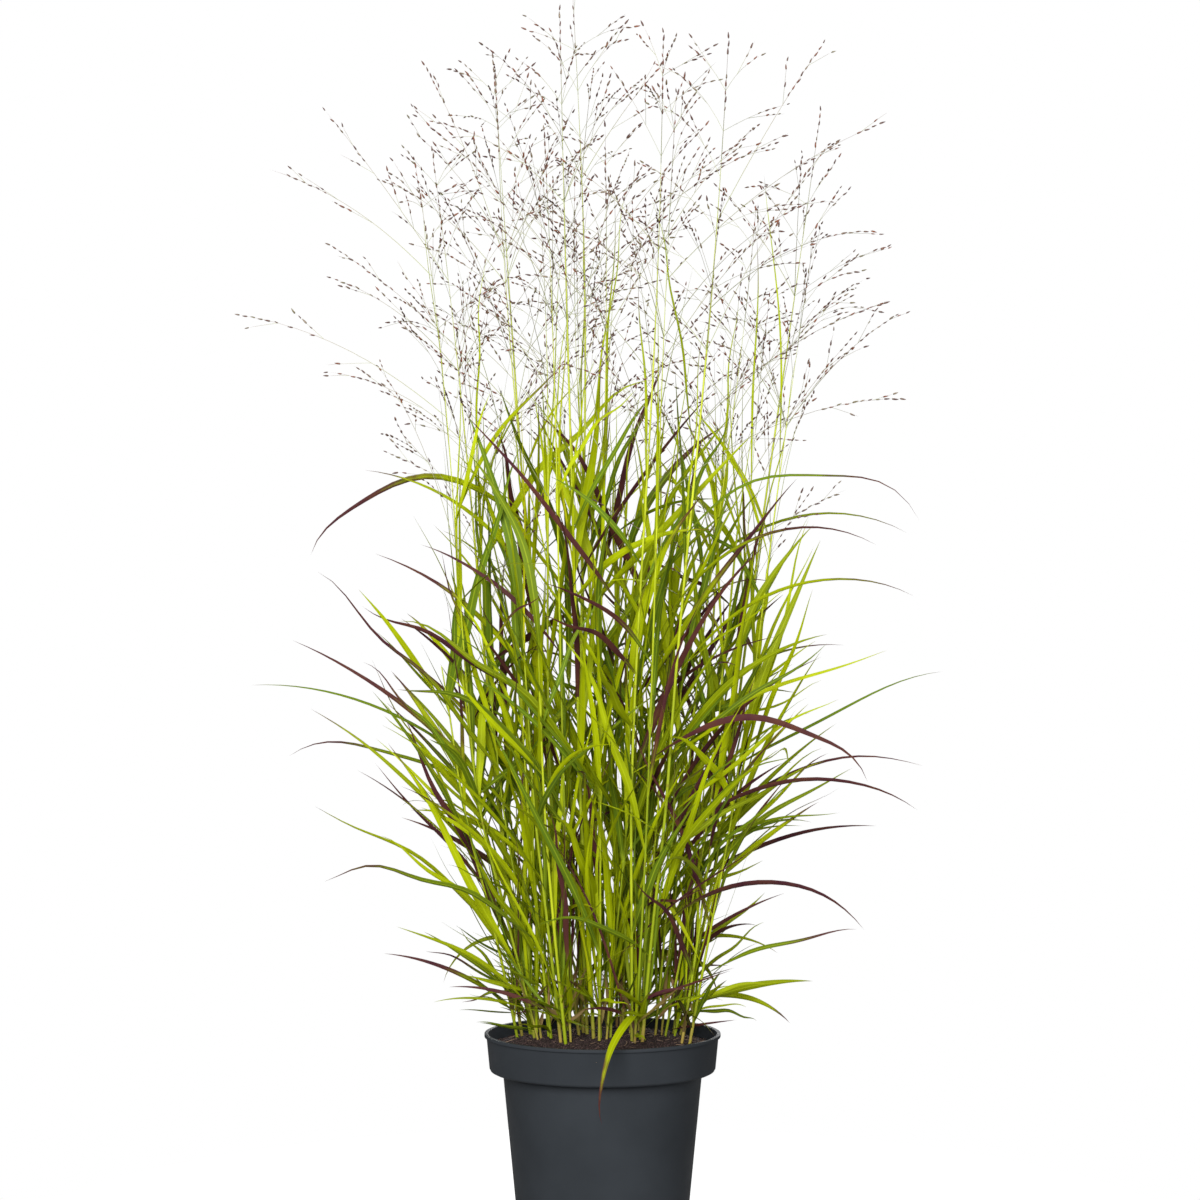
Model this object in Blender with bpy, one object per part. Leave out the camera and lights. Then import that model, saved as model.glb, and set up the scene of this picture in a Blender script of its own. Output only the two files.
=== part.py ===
"""A potted switchgrass: a tufted ornamental grass in a plastic nursery pot.

Metres, +Z up. The origin is the middle of the pot's flat base, and the front of the
plant faces -Y. The pot, the soil and each shoot are separate closed bodies. A shoot is
one body, because it grew as one: its culm, its blades and its seed head's branches.
"""

import math
from random import Random

import bmesh
import bpy
import numpy as np
from mathutils import Quaternion, Vector

# Pot, a moulded 5 litre nursery pot
POT_HEIGHT = 0.200
POT_SIDES = 36
BASE_RADIUS = 0.0825
BODY_TOP_RADIUS = 0.0984
COLLAR_BOTTOM = 0.163
COLLAR_RADIUS = 0.1115
COLLAR_TOP_RADIUS = 0.1145
COLLAR_ROUNDING = 0.003
LIP_RADIUS = 0.1165
LIP_DEPTH = 0.003
WALL = 0.0018
FLOOR = 0.004
DRAIN_HOLES = 6
DRAIN_HOLE_RADIUS = 0.006
DRAIN_CIRCLE_RADIUS = 0.052
DRAIN_HOLE_SIDES = 8
POT_GREY = (0.045, 0.050, 0.056)
POT_ROUGHNESS = 0.45

# Soil, a slightly heaped root ball
SOIL_EDGE = 0.187
SOIL_TOP = 0.197
SOIL_TOP_RADIUS = 0.060
FIT_GAP = 0.0003
SOIL_BROWN = (0.045, 0.030, 0.022)
SOIL_ROUGHNESS = 0.95

# Tuft: where its shoots leave the soil, and how they fan out above it
SEED = 9
SHOOTS = 50
FLOWERING_SHOOTS = 20
TUFT_HALF_WIDTH = 0.100
TUFT_HALF_DEPTH = 0.073
TUFT_BACK = 0.010
GOLDEN_ANGLE = math.radians(137.508)
TURN_SCATTER = 0.12
CLUMPS = 13
CLUMP_WIDTH = 0.45
CLUMP_HEIGHT = 0.22
CLUMP_BEND = 0.25
FAN_FOOT = 0.25
FAN_SLOPE = 1.15
FAN_ARCH = 0.4

# Stalks: flowering ones are tall, and less so towards the tuft's edge
FLOWERING_HEIGHT = 1.06
EDGE_LOSS = 0.12
HEIGHT_SPREAD = 0.25
HEIGHT_POWER = 1.4
LEAFY_HEIGHTS = (0.34, 0.50)
LEAFY_EDGE_LOSS = 0.12
CULM_RADIUS = 0.0021
CULM_TOP_RADIUS = 0.0009
CULM_WAVER = 0.008
WAVER_LENGTH = 0.5
FLOWERING_GREEN = (0.21, 0.33, 0.02)
LEAFY_GREEN = (0.13, 0.24, 0.015)
GRASS_ROUGHNESS = 0.5

# Blades: their size, and the shares of their length where their solid has a section
BLADE_WIDTH = 0.0100
BLADE_KEEL = 0.0013
BLADE_FOOT = 0.45
BLADE_WIDEST = 0.3
BLADE_TAPER = 1.5
BLADE_SECTIONS = (0.0, 0.05, 0.27, 0.50, 0.75, 1.0)
COLLAR_STEP = 0.005
COLLAR_SPACING = 0.035
LEAN_CURVE = 1.3
SIDE_BLADES = 3
SIDE_BLADES_FLOWERING = 4
LOWEST_COLLARS = (0.03, 0.13)
HIGHEST_COLLAR = 0.56
COLLAR_SCATTER = 0.7
LOW_HEIGHT = 0.2
LOW_SHRINK = 0.3
WIDTHS = (0.7, 1.15)

# How far blades turn from where their stalk faces, in radians, and how many face outwards
TOP_SCATTER = 1.5
STALK_SCATTER = 0.9
SIDE_SCATTER = 0.6
OUTWARD_CHANCE = 0.3
OUTWARD_CHANCE_AT_EDGE = 0.7

# Ranges for each kind of limb: its length, its lean away from the stalk and its bend on
# to the tip in degrees, its turn about its own line and its sideways drift in radians
TOP_BLADE = {
    "length": (0.20, 0.32), "lean": (2, 10), "bend": (10, 60), "roll": (0.5, 1.6), "drift": 0.3,
}
SIDE_BLADE = {
    "length": (0.22, 0.34), "lean": (14, 30), "bend": (10, 50), "roll": (0.4, 1.6), "drift": 0.4,
}
SEED_BRANCH = {
    "length": (0.18, 0.27), "lean": (26, 44), "bend": (12, 40), "roll": (0.0, 0.0), "drift": 0.0,
}
OUTWARD_BEND = 35
OUTLINE_ROLL = (0.9, 1.4)
OUTLINE_SCATTER = 0.3
OUTLINE_STEPS = 6
OUTLINE_START = (0.2, 0.2)
SHORTEST = 0.04
END_ROOM = 0.02

# Seed heads: an axis with two whorls of long branches, at shares of the head's length
HEAD_LENGTHS = (0.26, 0.36)
HEAD_SPACING = 0.015
BRANCH_SECTIONS = (0.0, 0.06, 0.45, 1.0)
BRANCH_RADIUS = 0.0007
WHORLS = (0.0, 0.40)
WHORL_BRANCHES = 3
WHORL_SCATTER = 0.3
UPPER_SHRINK = 0.6

# Room: what a new limb keeps between itself and all that has grown before it
CLEARANCE = 0.0020
RIM_CLEARANCE = 0.006
SOIL_CLEARANCE = 0.004
SAMPLE_SPACING = 0.005
TRIES = 40

# The plant's outline: how far tips reach from the middle at each height, for the blades
# and for the branches of the seed heads
BLADE_REACH = (
    (0.20, 0.14), (0.30, 0.18), (0.38, 0.22), (0.46, 0.25), (0.55, 0.26),
    (0.62, 0.25), (0.70, 0.22), (0.76, 0.18), (0.82, 0.14), (0.88, 0.06),
)
HEAD_REACH = (
    (0.70, 0.16), (0.78, 0.20), (0.84, 0.23), (0.90, 0.30), (1.04, 0.31), (1.13, 0.28),
    (1.25, 0.10),
)
OUTLINE_DEPTH = 0.85

# Limbs that make the outline from the front: how far across and how high the tip is, the
# limb's length, and its lean from upright at the collar and at the tip in degrees
OUTLINE_BLADES = (
    # left, from the top down
    (-0.235, 0.755, 0.24, 28, 85),
    (-0.287, 0.667, 0.30, 38, 165),
    (-0.277, 0.650, 0.30, 34, 52),
    (-0.308, 0.588, 0.30, 38, 68),
    (-0.358, 0.540, 0.29, 50, 94),
    (-0.290, 0.519, 0.26, 36, 60),
    (-0.323, 0.465, 0.28, 46, 112),
    (-0.227, 0.463, 0.22, 36, 46),
    (-0.289, 0.420, 0.28, 38, 72),
    (-0.269, 0.361, 0.24, 44, 104),
    (-0.200, 0.312, 0.18, 44, 76),
    (-0.217, 0.277, 0.15, 52, 84),
    (-0.205, 0.406, 0.17, 48, 76),
    (-0.180, 0.274, 0.13, 52, 78),
    (-0.160, 0.240, 0.13, 50, 168),
    (-0.185, 0.225, 0.11, 64, 90),
    (-0.150, 0.250, 0.08, 60, 95),
    # right, from the top down
    (0.299, 0.702, 0.30, 28, 142),
    (0.313, 0.697, 0.30, 34, 118),
    (0.264, 0.680, 0.26, 24, 120),
    (0.292, 0.630, 0.28, 36, 118),
    (0.274, 0.578, 0.22, 54, 80),
    (0.351, 0.550, 0.30, 56, 78),
    (0.252, 0.450, 0.25, 52, 155),
    (0.318, 0.467, 0.28, 48, 98),
    (0.308, 0.422, 0.27, 50, 126),
    (0.284, 0.393, 0.24, 56, 94),
    (0.254, 0.307, 0.24, 46, 145),
    (0.207, 0.252, 0.14, 66, 92),
    (0.185, 0.208, 0.12, 72, 138),
    (0.180, 0.336, 0.13, 50, 72),
    (0.165, 0.330, 0.11, 46, 58),
    (0.245, 0.306, 0.16, 60, 90),
    (0.177, 0.270, 0.12, 60, 125),
    (0.128, 0.256, 0.06, 70, 95),
    (0.116, 0.230, 0.14, 50, 176),
    (0.143, 0.185, 0.09, 60, 128),
    # standing up out of the top of the foliage
    (0.059, 0.869, 0.26, 12, 20),
    (0.111, 0.835, 0.26, 30, 44),
    (-0.131, 0.805, 0.26, 34, 44),
    (0.190, 0.746, 0.28, 30, 42),
    (-0.070, 0.820, 0.26, 22, 30),
)
OUTLINE_BRANCHES = (
    # left, from the top down
    (-0.180, 1.168, 0.20, 18, 30),
    (-0.285, 1.130, 0.24, 34, 40),
    (-0.322, 1.042, 0.22, 44, 74),
    (-0.350, 0.902, 0.22, 50, 82),
    (-0.278, 0.858, 0.20, 44, 84),
    # right, from the top down
    (0.208, 1.152, 0.22, 28, 36),
    (0.256, 1.068, 0.22, 44, 70),
    (0.258, 0.982, 0.20, 46, 88),
    (0.272, 0.914, 0.22, 44, 74),
    (0.286, 0.816, 0.24, 50, 92),
)

# One blade hangs over the front of the rim
FRONT_BLADE_FOOT = (0.036, -0.055)
FRONT_BLADE_HEIGHT = 0.024
FRONT_BLADE_LENGTH = 0.172
FRONT_BLADE_LEANS = (72, 204)
FRONT_BLADE_DRIFT = -0.95


def clear_scene():
    for thing in list(bpy.data.objects):
        bpy.data.objects.remove(thing)


def finish(name, mesh, colour, roughness):
    """Make a named object of a mesh, with its own material."""
    material = bpy.data.materials.new(name)
    material.use_nodes = True
    shader = material.node_tree.nodes["Principled BSDF"]
    shader.inputs["Base Color"].default_value = (*colour, 1.0)
    shader.inputs["Roughness"].default_value = roughness
    shader.inputs["Metallic"].default_value = 0.0
    mesh.materials.append(material)
    thing = bpy.data.objects.new(name, mesh)
    bpy.context.collection.objects.link(thing)
    return thing


def turned(name, profile):
    """Spin an outline of (radius, height) points round the pot's axis into a closed body."""
    bm = bmesh.new()
    points = [bm.verts.new((radius, 0.0, height)) for radius, height in profile]
    edges = [bm.edges.new(pair) for pair in zip(points, points[1:])]
    bmesh.ops.spin(
        bm, geom=points + edges, axis=(0, 0, 1), cent=(0, 0, 0),
        steps=POT_SIDES, angle=math.tau, use_merge=True,
    )
    bmesh.ops.remove_doubles(bm, verts=bm.verts, dist=1e-5)
    rims = [edge for edge in bm.edges if edge.is_boundary]
    bmesh.ops.holes_fill(bm, edges=rims, sides=0)
    bmesh.ops.recalc_face_normals(bm, faces=bm.faces)
    mesh = bpy.data.meshes.new(name)
    bm.to_mesh(mesh)
    bm.free()
    mesh.shade_smooth()
    mesh.set_sharp_from_angle(angle=math.radians(30))
    return mesh


def outer_wall():
    """The pot's outside from base to lip, as (radius, height) points."""
    corner = COLLAR_BOTTOM + COLLAR_ROUNDING
    return [
        (BASE_RADIUS, 0.0),
        (BODY_TOP_RADIUS, COLLAR_BOTTOM),
        (COLLAR_RADIUS - COLLAR_ROUNDING, COLLAR_BOTTOM),
        (COLLAR_RADIUS, corner),
        (COLLAR_TOP_RADIUS, POT_HEIGHT - LIP_DEPTH),
        (LIP_RADIUS, POT_HEIGHT - LIP_DEPTH),
        (LIP_RADIUS, POT_HEIGHT),
    ]


def inner_wall(inset=0.0):
    """The pot's inside from its floor up, or the same line a little further in."""
    floor = FLOOR + inset
    body = WALL + inset
    step = COLLAR_BOTTOM + COLLAR_ROUNDING
    slope = (BODY_TOP_RADIUS - BASE_RADIUS) / COLLAR_BOTTOM
    return [
        (BASE_RADIUS + slope * floor - body, floor),
        (BASE_RADIUS + slope * step - body, step + inset),
        (COLLAR_RADIUS - body, step + inset),
        (COLLAR_TOP_RADIUS - body, POT_HEIGHT),
    ]


def make_pot():
    mesh = turned("pot", outer_wall() + inner_wall()[::-1])
    pot = finish("pot", mesh, POT_GREY, POT_ROUGHNESS)
    cutters = bmesh.new()
    for k in range(DRAIN_HOLES):
        angle = math.tau * (k + 0.5) / DRAIN_HOLES
        made = bmesh.ops.create_cone(
            cutters, cap_ends=True, segments=DRAIN_HOLE_SIDES,
            radius1=DRAIN_HOLE_RADIUS, radius2=DRAIN_HOLE_RADIUS, depth=4 * FLOOR,
        )
        place = Vector((math.cos(angle), math.sin(angle), 0)) * DRAIN_CIRCLE_RADIUS
        bmesh.ops.translate(cutters, verts=made["verts"], vec=place)
    holes = bpy.data.meshes.new("drain_holes")
    cutters.to_mesh(holes)
    cutters.free()
    cutter = bpy.data.objects.new("drain_holes", holes)
    bpy.context.collection.objects.link(cutter)
    cutter.hide_render = True
    cutter.display_type = "WIRE"
    cut = pot.modifiers.new("drain", "BOOLEAN")
    cut.operation = "DIFFERENCE"
    cut.solver = "EXACT"
    cut.object = cutter


def make_soil():
    inside = inner_wall(FIT_GAP)
    (low_radius, low), (high_radius, high) = inside[2:]
    edge = low_radius + (high_radius - low_radius) * (SOIL_EDGE - low) / (high - low)
    outline = inside[:3] + [(edge, SOIL_EDGE), (SOIL_TOP_RADIUS, SOIL_TOP)]
    finish("soil", turned("soil", outline), SOIL_BROWN, SOIL_ROUGHNESS)


def soil_height(radius):
    """The soil's surface: level in the middle, and falling to the wall."""
    fall = (SOIL_TOP - SOIL_EDGE) / (COLLAR_TOP_RADIUS - WALL - SOIL_TOP_RADIUS)
    return SOIL_TOP - fall * max(0.0, radius - SOIL_TOP_RADIUS)


def heading(azimuth, lean):
    """The direction that leans from upright towards an azimuth."""
    out = math.sin(lean)
    return Vector((out * math.cos(azimuth), out * math.sin(azimuth), math.cos(lean)))


def in_tuft(share, angle):
    """A place on the soil, at a share of the way out to the edge of the tuft."""
    across = -TUFT_HALF_WIDTH * share * math.cos(angle)
    back = TUFT_HALF_DEPTH * share * math.sin(angle) + TUFT_BACK
    return Vector((across, back, 0.0))


def clump_middles():
    """Where the clumps stand that the tuft's shoots come up in."""
    shares = [math.sqrt((k + 0.5) / CLUMPS) for k in range(CLUMPS)]
    return [in_tuft(share, k * GOLDEN_ANGLE) for k, share in enumerate(shares)]


def clump_opened(height):
    """How far a clump has opened, from 0 at the soil to 1, with a soft bend at the end."""
    share = height / CLUMP_HEIGHT
    past = max(0.0, share - 1 + CLUMP_BEND)
    return share - past ** 2 / (4 * CLUMP_BEND) if share < 1 + CLUMP_BEND else 1.0


class Culm:
    """One shoot's stalk. It leans away from its clump, and outwards with the whole tuft."""

    def __init__(self, number, flowers, rng):
        self.number = number
        self.flowers = flowers
        self.share = math.sqrt((number + 0.5) / SHOOTS)
        angle = number * GOLDEN_ANGLE + rng.uniform(-TURN_SCATTER, TURN_SCATTER)
        spot = in_tuft(self.share, angle)
        self.clump = min(clump_middles(), key=lambda middle: (middle - spot).length)
        self.apart = spot - self.clump
        self.foot = self.clump + self.apart * CLUMP_WIDTH
        self.azimuth = math.atan2(self.foot.y, self.foot.x)
        self.foot.z = soil_height(self.foot.length - 2 * CULM_RADIUS) + FIT_GAP
        self.waver = Vector((rng.uniform(-1, 1), rng.uniform(-1, 1), 0)) * CULM_WAVER
        if flowers:
            loss = EDGE_LOSS * self.share + HEIGHT_SPREAD * rng.random() ** HEIGHT_POWER
            self.height = FLOWERING_HEIGHT - loss
        else:
            self.height = rng.uniform(*LEAFY_HEIGHTS) - LEAFY_EDGE_LOSS * self.share
        self.head = self.height - rng.uniform(*HEAD_LENGTHS)
        self.limbs = []

    def at(self, height):
        opened = clump_opened(height)
        spot = self.clump + self.apart * (CLUMP_WIDTH + (1 - CLUMP_WIDTH) * opened)
        fan = 1 + FAN_FOOT * opened + FAN_SLOPE * height + FAN_ARCH * height ** 2
        sway = self.waver * math.sin(math.pi * height / WAVER_LENGTH)
        return spot * fan + sway + Vector((0, 0, self.foot.z + height))

    def radius(self, height):
        return CULM_RADIUS + (CULM_TOP_RADIUS - CULM_RADIUS) * height / self.height

    def lean(self, azimuth, height):
        """How far the stalk itself leans towards an azimuth."""
        run = self.at(height + 0.01) - self.at(height)
        return math.atan2(run.x * math.cos(azimuth) + run.y * math.sin(azimuth), run.z)

    def has_room(self, height, spacing=COLLAR_SPACING):
        """Whether a new collar at this height is far enough from the others."""
        return all(abs(height - limb.height) > spacing for limb in self.limbs)


class Limb:
    """A blade or a branch: points along it, with its half width and its cross direction."""

    def __init__(self, culm, height, azimuth, length, leans, size, drift=0.0, roll=0.0):
        sections, half_width, keel = size
        self.height = height
        self.azimuth = azimuth
        self.points = [culm.at(height)]
        self.widths = [half_width(0.0)]
        self.keels = [keel(0.0)]
        self.across = [None]
        self.above = [None]
        for low, high in zip(sections, sections[1:]):
            middle = (low + high) / 2
            lean = leans[0] + (leans[1] - leans[0]) * middle ** LEAN_CURVE
            turn = azimuth + drift * middle
            along = heading(turn, lean)
            rolled = Quaternion(along, roll * (1 - (1 - high) ** 3))
            self.points.append(self.points[-1] + along * length * (high - low))
            self.widths.append(half_width(high))
            self.keels.append(keel(high))
            self.across.append(rolled @ heading(turn + math.pi / 2, math.pi / 2))
            self.above.append(rolled @ heading(turn + math.pi, math.pi / 2 - lean))

    def samples(self, spacing=SAMPLE_SPACING):
        """Close points along the line, with the half width at each."""
        places = []
        for k, (low, high) in enumerate(zip(self.points, self.points[1:])):
            steps = max(1, round((high - low).length / spacing))
            for j in range(steps):
                share = j / steps
                width = self.widths[k] + (self.widths[k + 1] - self.widths[k]) * share
                places.append((*low.lerp(high, share), width))
        places.append((*self.points[-1], self.widths[-1]))
        return np.array(places)

    def section(self, k):
        """The corners of the solid at one of its points."""
        return {
            "left": self.points[k] + self.across[k] * self.widths[k],
            "right": self.points[k] - self.across[k] * self.widths[k],
            "keel": self.points[k] - self.above[k] * self.keels[k],
        }


class Space:
    """What has grown so far, so that nothing new grows through it."""

    OWN_LENGTH = 0.035
    REACH = 0.015

    def __init__(self):
        self.taken = np.empty((0, 4))
        self.owner = np.empty(0, int)

    def fill(self, places, owner):
        self.taken = np.vstack([self.taken, places])
        self.owner = np.append(self.owner, np.full(len(places), owner))

    def free(self, places, owner):
        low, high = places[:, :3].min(0) - self.REACH, places[:, :3].max(0) + self.REACH
        near = ((self.taken[:, :3] > low) & (self.taken[:, :3] < high)).all(1)
        taken, owners = self.taken[near], self.owner[near]
        apart = places[:, None, :3] - taken[None, :, :3]
        gap = np.sqrt((apart ** 2).sum(2)) - places[:, None, 3] - taken[None, :, 3]
        start = np.sqrt(((places[:, :3] - places[0, :3]) ** 2).sum(1)) < self.OWN_LENGTH
        gap[start[:, None] & (owners == owner)[None, :]] = 1.0
        across = np.hypot(places[:, 0], places[:, 1])
        outside = across > LIP_RADIUS + RIM_CLEARANCE
        over_rim = places[:, 2] > POT_HEIGHT + RIM_CLEARANCE
        over_soil = places[:, 2] > SOIL_TOP + SOIL_CLEARANCE
        inside = (across < COLLAR_RADIUS - WALL - RIM_CLEARANCE) & over_soil
        return gap.min(initial=1.0) > CLEARANCE and bool((outside | over_rim | inside).all())

    def grow(self, culm, limb):
        """Keep a limb if nothing is in its way."""
        places = limb.samples()
        if not self.free(places, culm.number):
            return False
        culm.limbs.append(limb)
        self.fill(places, culm.number)
        return True


def blade_size(width=BLADE_WIDTH):
    """A blade is narrow at the collar, widest below its middle, and drawn out to the tip."""
    def half_width(share):
        rise = BLADE_FOOT + (1 - BLADE_FOOT) * min(1.0, share / BLADE_WIDEST)
        past = max(0.0, (share - BLADE_WIDEST) / (1 - BLADE_WIDEST))
        return 0.5 * width * rise * (1 - past ** BLADE_TAPER)

    def keel(share):
        return BLADE_KEEL * (1 - share)
    return BLADE_SECTIONS, half_width, keel


def branch_size():
    """A branch is an equal-sided strand that thins out to almost nothing."""
    def half_width(share):
        return BRANCH_RADIUS * (1 - 0.9 * share)

    def keel(share):
        return math.sqrt(3) * half_width(share)
    return BRANCH_SECTIONS, half_width, keel


def draw_limb(culm, height, azimuth, kind, size, rng, reach=1.0, droop=0.0):
    """A limb whose length, lean, bend, roll and drift are drawn from its kind's ranges."""
    length = rng.uniform(*kind["length"]) * reach
    lean = culm.lean(azimuth, height) + math.radians(rng.uniform(*kind["lean"]))
    bend = math.radians(rng.uniform(*kind["bend"]) + droop)
    drift = rng.uniform(-kind["drift"], kind["drift"])
    roll = rng.choice((-1, 1)) * rng.uniform(*kind["roll"])
    return Limb(culm, height, azimuth, length, (lean, lean + bend), size, drift, roll)


def grow_culms(rng, space):
    flowering = rng.sample(range(SHOOTS), FLOWERING_SHOOTS)
    culms = [Culm(number, number in flowering, rng) for number in range(SHOOTS)]
    for culm in culms:
        heights = np.arange(0.0, culm.height, SAMPLE_SPACING)
        places = [(*culm.at(height), culm.radius(height)) for height in heights]
        space.fill(np.array(places), culm.number)
    return culms


def within(limb, outline):
    """Whether a limb's tip stays inside an outline of the plant."""
    tip = limb.points[-1]
    heights, reaches = zip(*outline)
    reach = np.interp(tip.z, heights, reaches)
    return math.hypot(tip.x, tip.y / OUTLINE_DEPTH) < reach and tip.z < heights[-1]


def limb_to(tip_x, tip_z, culm, azimuth, leans, size, roll):
    """A limb from this culm to a tip, and its length, if it has a place to start from."""
    height, length = OUTLINE_START
    for step in range(OUTLINE_STEPS):
        limb = Limb(culm, height, azimuth, length, leans, size, roll=roll)
        run = (limb.points[-1] - limb.points[0]) / length
        length = (tip_x - limb.points[0].x) / run.x
        height = tip_z - length * run.z - culm.foot.z
        if length < SHORTEST or not END_ROOM < height < culm.height - END_ROOM:
            return None, 0.0
    return Limb(culm, height, azimuth, length, leans, size, roll=roll), length


def grow_outline(rows, size, rolls, culms, space, rng):
    """Put each limb of the outline on a stalk from which it has about its wanted length."""
    for tip_x, tip_z, wanted, lean, tip_lean in rows:
        leans = math.radians(lean), math.radians(tip_lean)
        azimuth = rng.uniform(-OUTLINE_SCATTER, OUTLINE_SCATTER) + math.pi * (tip_x < 0)
        roll = rng.choice((-1, 1)) * rng.uniform(*rolls)
        choices = []
        for culm in culms:
            limb, length = limb_to(tip_x, tip_z, culm, azimuth, leans, size, roll)
            if limb and culm.has_room(limb.height):
                choices.append((abs(length - wanted), culm.number, limb))
        for off, number, limb in sorted(choices, key=lambda choice: choice[:2]):
            if space.grow(next(culm for culm in culms if culm.number == number), limb):
                break


def grow_front_blade(culms, space):
    x, y = FRONT_BLADE_FOOT
    culm = min(culms, key=lambda culm: math.hypot(culm.foot.x - x, culm.foot.y - y))
    leans = [math.radians(lean) for lean in FRONT_BLADE_LEANS]
    limb = Limb(
        culm, FRONT_BLADE_HEIGHT, -math.pi / 2, FRONT_BLADE_LENGTH, leans, blade_size(),
        drift=FRONT_BLADE_DRIFT,
    )
    space.grow(culm, limb)


def grow_top_blades(culms, space, rng):
    """A leafy shoot ends in its youngest blade, nearly upright."""
    for culm in culms:
        if culm.flowers:
            continue
        for attempt in range(TRIES):
            azimuth = culm.azimuth + rng.uniform(-TOP_SCATTER, TOP_SCATTER)
            limb = draw_limb(culm, culm.height, azimuth, TOP_BLADE, blade_size(), rng)
            if within(limb, BLADE_REACH) and space.grow(culm, limb):
                break


def grow_side_blades(culms, space, rng):
    """Blades up the side of each stalk, on alternate sides."""
    for culm in culms:
        wanted = SIDE_BLADES_FLOWERING if culm.flowers else SIDE_BLADES
        low = rng.uniform(*LOWEST_COLLARS)
        high = min(culm.head if culm.flowers else culm.height - COLLAR_SPACING, HIGHEST_COLLAR)
        side = culm.azimuth + rng.uniform(-STALK_SCATTER, STALK_SCATTER)
        chance = OUTWARD_CHANCE + (OUTWARD_CHANCE_AT_EDGE - OUTWARD_CHANCE) * culm.share
        missing = wanted - sum(limb.height < culm.height for limb in culm.limbs)
        for k in range(missing):
            for attempt in range(TRIES):
                step = k + rng.uniform(0.0, COLLAR_SCATTER)
                height = low + (high - low) * step / wanted
                outward = k % 2 == 0 or rng.random() < chance
                scatter = rng.uniform(-SIDE_SCATTER, SIDE_SCATTER)
                azimuth = side + math.pi * (not outward) + scatter
                reach = 1 - LOW_SHRINK * max(0.0, 1 - height / LOW_HEIGHT)
                droop = OUTWARD_BEND * culm.share * outward
                size = blade_size(BLADE_WIDTH * rng.uniform(*WIDTHS))
                limb = draw_limb(culm, height, azimuth, SIDE_BLADE, size, rng, reach, droop)
                inside = within(limb, BLADE_REACH)
                if inside and culm.has_room(height) and space.grow(culm, limb):
                    break


def grow_seed_heads(culms, space, rng):
    """Give each flowering stalk its whorls of long thin branches."""
    for culm in culms:
        for rise in WHORLS:
            height = culm.head + (culm.height - culm.head) * rise
            turn = rng.uniform(0, math.tau)
            if not culm.flowers or not culm.has_room(height, HEAD_SPACING):
                continue
            for k in range(WHORL_BRANCHES):
                for attempt in range(TRIES):
                    scatter = rng.uniform(-WHORL_SCATTER, WHORL_SCATTER)
                    azimuth = turn + math.tau * k / WHORL_BRANCHES + scatter
                    reach = 1 - UPPER_SHRINK * rise
                    limb = draw_limb(
                        culm, height, azimuth, SEED_BRANCH, branch_size(), rng, reach
                    )
                    if within(limb, HEAD_REACH) and space.grow(culm, limb):
                        break


def push(bm, face, corners):
    """Extrude a face to new corners, given in the order of its own."""
    grown = bmesh.ops.extrude_discrete_faces(bm, faces=[face])["faces"][0]
    for vert, corner in zip(grown.verts, corners):
        vert.co = corner
    return grown


def ring(centre, turn, radius):
    """Three corners round a culm. The side between the first two faces the azimuth turn."""
    angles = (turn - math.pi / 3, turn + math.pi / 3, turn + math.pi)
    return [centre + Vector((math.cos(a), math.sin(a), 0)) * radius for a in angles]


def nearest_turn(turn, azimuth):
    """The turn nearest to this one that brings a side to face an azimuth, and that side."""
    best = None
    for side in range(3):
        wanted = azimuth - side * math.tau / 3
        off = (wanted - turn + math.pi) % math.tau - math.pi
        if best is None or abs(off) < abs(best[0]):
            best = (off, side)
    return turn + best[0], best[1]


def grow_from(bm, face, roles, limb):
    """Draw a limb out of a face to its tip. The roles say what each corner becomes."""
    for k in range(1, len(limb.points)):
        section = limb.section(k)
        face = push(bm, face, [section[role] for role in roles])


def grow_from_side(bm, top, side, limb):
    """Draw a limb out of the wall under one edge of a culm's top face."""
    right, left = top.verts[side], top.verts[(side + 1) % 3]
    edge = bm.edges.get((right, left))
    wall = next(face for face in edge.link_faces if face is not top)
    names = {right: "right", left: "left"}
    grow_from(bm, wall, [names.get(vert, "keel") for vert in wall.verts], limb)


def split_outwards(bm):
    """Cut each four-sided face along its outer diagonal, so that a thin twist stays solid."""
    for face in [face for face in bm.faces if len(face.verts) == 4]:
        a, b, c, d = face.verts
        out = (b.co - a.co).cross(c.co - a.co)
        ridge = (a, c) if out.dot(d.co - a.co) < 0 else (b, d)
        bmesh.utils.face_split(face, *ridge)


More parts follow.
